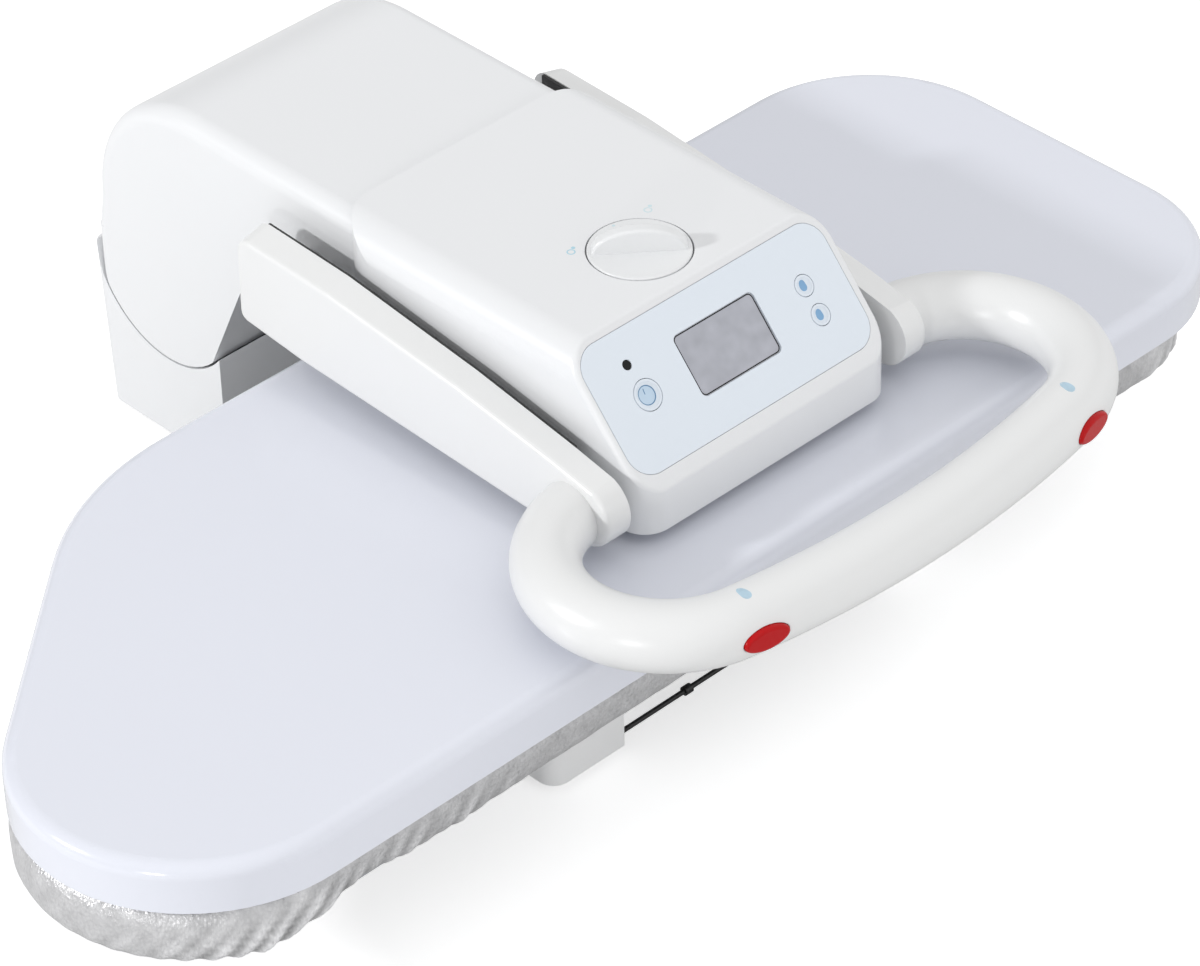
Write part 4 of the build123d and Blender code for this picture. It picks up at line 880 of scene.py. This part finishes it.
POWER_MIDDLE = on_panel(-52.0, -1.2)
printed("power_wash", "power_button", INK_WASH, "power_button", POWER_MIDDLE, RIGHT,
        PANEL_UP, [ring_patch(0.0, 4.4, depth=5)])
printed("power_ring", "power_button", INK_BLUE, "power_button", POWER_MIDDLE, RIGHT,
        PANEL_UP, [ring_patch(4.3, 4.75), bar_patch(-0.22, 0.6, 0.22, 3.4)], lift=0.08 * MM)
for key, middle in (("key_upper", on_panel(53.5, 4.6)), ("key_lower", on_panel(54.0, -10.9))):
    printed(key + "_drop", key, INK_SKY, key, middle, RIGHT, PANEL_UP,
            [ring_patch(0.0, drop_radius(2.1), depth=4)])

DIAL_ACROSS = Vector((0.77, 0.64, 0.0))
DIAL_UP = Vector((-0.64, 0.77, 0.0))
for side, ink, middle in (
    ("left", INK_PALE, Vector((0.0179, -0.0422, 0.2095))),
    ("right", INK_FAINT, Vector((0.0664, -0.0433, 0.2095))),
):
    printed("dial_mark_" + side, "head", ink, "console_shell", middle, DIAL_ACROSS,
            DIAL_UP, [ring_patch(1.5, 2.1), ring_patch(0.0, 1.0, place=(3.4, -0.6), depth=2)])
printed("dial_dot", "knob", INK_FAINT, "knob", Vector((0.0458, -0.0416, 0.2101)), RIGHT,
        Vector((0.0, 1.0, 0.0)), [ring_patch(0.0, 0.8, depth=1, steps=20)])
for side, x in (("left", -0.0625), ("right", 0.1485)):
    printed("steam_mark_" + side, "handle", INK_MIST, "handle_upper",
            Vector((x, -0.234, 0.162)), RIGHT, Vector((0.0, 0.8, 0.6)),
            [ring_patch(0.0, drop_radius(2.6), depth=5)])


def display_shade_ring():
    """Black line round the display, where the glass meets the panel: painted shade standing for the shadow
    along the edge of the sunk window.
    """
    rows = []
    half_width, half_height, corner, line = 25.3, 15.3, 2.8, 0.55
    corner_points = 9
    for n in range(4 * corner_points):
        quarter, step = divmod(n, corner_points)
        angle = pi / 2 * (quarter + step / (corner_points - 1))
        x = (1 if quarter in (0, 3) else -1) * (half_width - corner)
        y = (1 if quarter in (0, 1) else -1) * (half_height - corner)
        rows.append([(x + (corner - inset) * cos(angle), y + (corner - inset) * sin(angle))
                     for inset in (0.0, line)])
    rows.append(rows[0])
    printed("display_shade_ring", "head", FINISHES["black_lens"], "display_window",
            on_panel(0.0, 0.0), RIGHT, PANEL_UP, [rows])


display_shade_ring()


HEAD_MIDDLE = 0.043
STRIP_LINE = ((-110.0, 168.1), (-47.0, 178.1), (40.0, 188.1), (97.0, 190.6))
STRIP_DROP = 0.011


def arm_shade_strip(name, side):
    """Black strip along the inner upper edge of an arm, where a black line shows: painted shade, a dark
    piece standing for the shaded gap between the arm and the console.
    """
    inner = HEAD_MIDDLE + side * 0.090
    outer = HEAD_MIDDLE + side * 0.0882
    bm = bmesh.new()
    rows = []
    for y, z in STRIP_LINE:
        rows.append([bm.verts.new((x, y * MM, z * MM + drop)) for x, drop in
                     ((inner, 0.0), (outer, 0.0), (outer, -STRIP_DROP), (inner, -STRIP_DROP))])
    for first, second in zip(rows, rows[1:]):
        for n in range(4):
            bm.faces.new((first[n - 1], first[n], second[n], second[n - 1]))
    bm.faces.new(rows[0])
    bm.faces.new(rows[-1])
    bmesh.ops.recalc_face_normals(bm, faces=bm.faces)
    bmesh.ops.bevel(bm, geom=bm.edges[:], offset=0.3 * MM, affect="EDGES", segments=2, profile=0.5,
                    material=-1)
    strip = new_piece(name, bm, FINISHES["black_steel"])
    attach(strip, "handle")


arm_shade_strip("arm_shade_strip_left", -1)
arm_shade_strip("arm_shade_strip_right", 1)


# ---------------------------------------------------------------- stage
def build_floor():
    """White floor that keeps the soft shadow; only the camera sees the glow that whitens it."""
    bm = bmesh.new()
    bmesh.ops.create_grid(bm, x_segments=1, y_segments=1, size=6.0)
    material, tree, shader = new_material("floor_white")
    link = tree.links.new
    grey = new_node(tree, "ShaderNodeTexNoise", (-300, 0))
    set_inputs(grey, Scale=1.5, Detail=2.0)
    tint = new_node(tree, "ShaderNodeMapRange", (-100, 0))
    set_inputs(tint, To_Min=0.80, To_Max=0.81)
    link(grey.outputs["Fac"], tint.inputs["Value"])
    link(tint.outputs["Result"], shader.inputs["Base Color"])
    set_inputs(shader, Roughness=0.9, Specular_IOR_Level=0.0)
    path = new_node(tree, "ShaderNodeLightPath", (-100, -300))
    glow = new_node(tree, "ShaderNodeEmission", (300, -300))
    link(path.outputs["Is Camera Ray"], glow.inputs["Strength"])
    glow.inputs["Color"].default_value = (0.56, 0.56, 0.56, 1.0)
    both = new_node(tree, "ShaderNodeAddShader", (500, -100))
    output = next(n for n in tree.nodes if n.type == "OUTPUT_MATERIAL")
    output.location = (700, 0)
    link(shader.outputs["BSDF"], both.inputs[0])
    link(glow.outputs["Emission"], both.inputs[1])
    link(both.outputs["Shader"], output.inputs["Surface"])
    new_piece("floor", bm, material)


def build_world():
    """Pale room, brightest above and at the front right; the camera sees plain white."""
    world = bpy.data.worlds.new("pale_room")
    bpy.context.scene.world = world
    world.use_nodes = True
    tree = world.node_tree
    tree.nodes.clear()
    link = tree.links.new
    where = new_node(tree, "ShaderNodeTexCoord", (-900, 0))
    facing = new_node(tree, "ShaderNodeVectorMath", (-700, 0), operation="DOT_PRODUCT")
    facing.inputs[1].default_value = (0.54, -0.61, 0.58)
    ramp = new_node(tree, "ShaderNodeMapRange", (-500, 0), interpolation_type="SMOOTHSTEP")
    set_inputs(ramp, From_Min=-0.6, From_Max=0.9, To_Min=0.32, To_Max=1.06)
    path = new_node(tree, "ShaderNodeLightPath", (-500, 300))
    choose = new_node(tree, "ShaderNodeMix", (-250, 0), data_type="FLOAT")
    choose.inputs["B"].default_value = 1.0
    back = new_node(tree, "ShaderNodeBackground", (0, 0))
    back.inputs["Color"].default_value = (1.0, 1.0, 1.0, 1.0)
    output = new_node(tree, "ShaderNodeOutputWorld", (250, 0))
    link(where.outputs["Generated"], facing.inputs[0])
    link(facing.outputs["Value"], ramp.inputs["Value"])
    link(path.outputs["Is Camera Ray"], choose.inputs["Factor"])
    link(ramp.outputs["Result"], choose.inputs["A"])
    link(choose.outputs["Result"], back.inputs["Strength"])
    link(back.outputs["Background"], output.inputs["Surface"])


def build_lamp(name, place, size, power):
    """Square lamp turned to the middle of the press."""
    data = bpy.data.lights.new(name, "AREA")
    data.size = size
    data.energy = power
    lamp = bpy.data.objects.new(name, data)
    lamp.location = place
    lamp.rotation_euler = (Vector((0.0, 0.0, 0.1)) - place).to_track_quat("-Z", "Y").to_euler()
    bpy.context.scene.collection.objects.link(lamp)


build_floor()
build_world()
build_lamp("light_key", Vector((-5.2, 2.4, 2.75)), 0.40, 178.0)
build_lamp("light_side", Vector((-4.5, -1.9, 0.9)), 0.60, 26.0)
bpy.context.scene.view_settings.view_transform = "Standard"
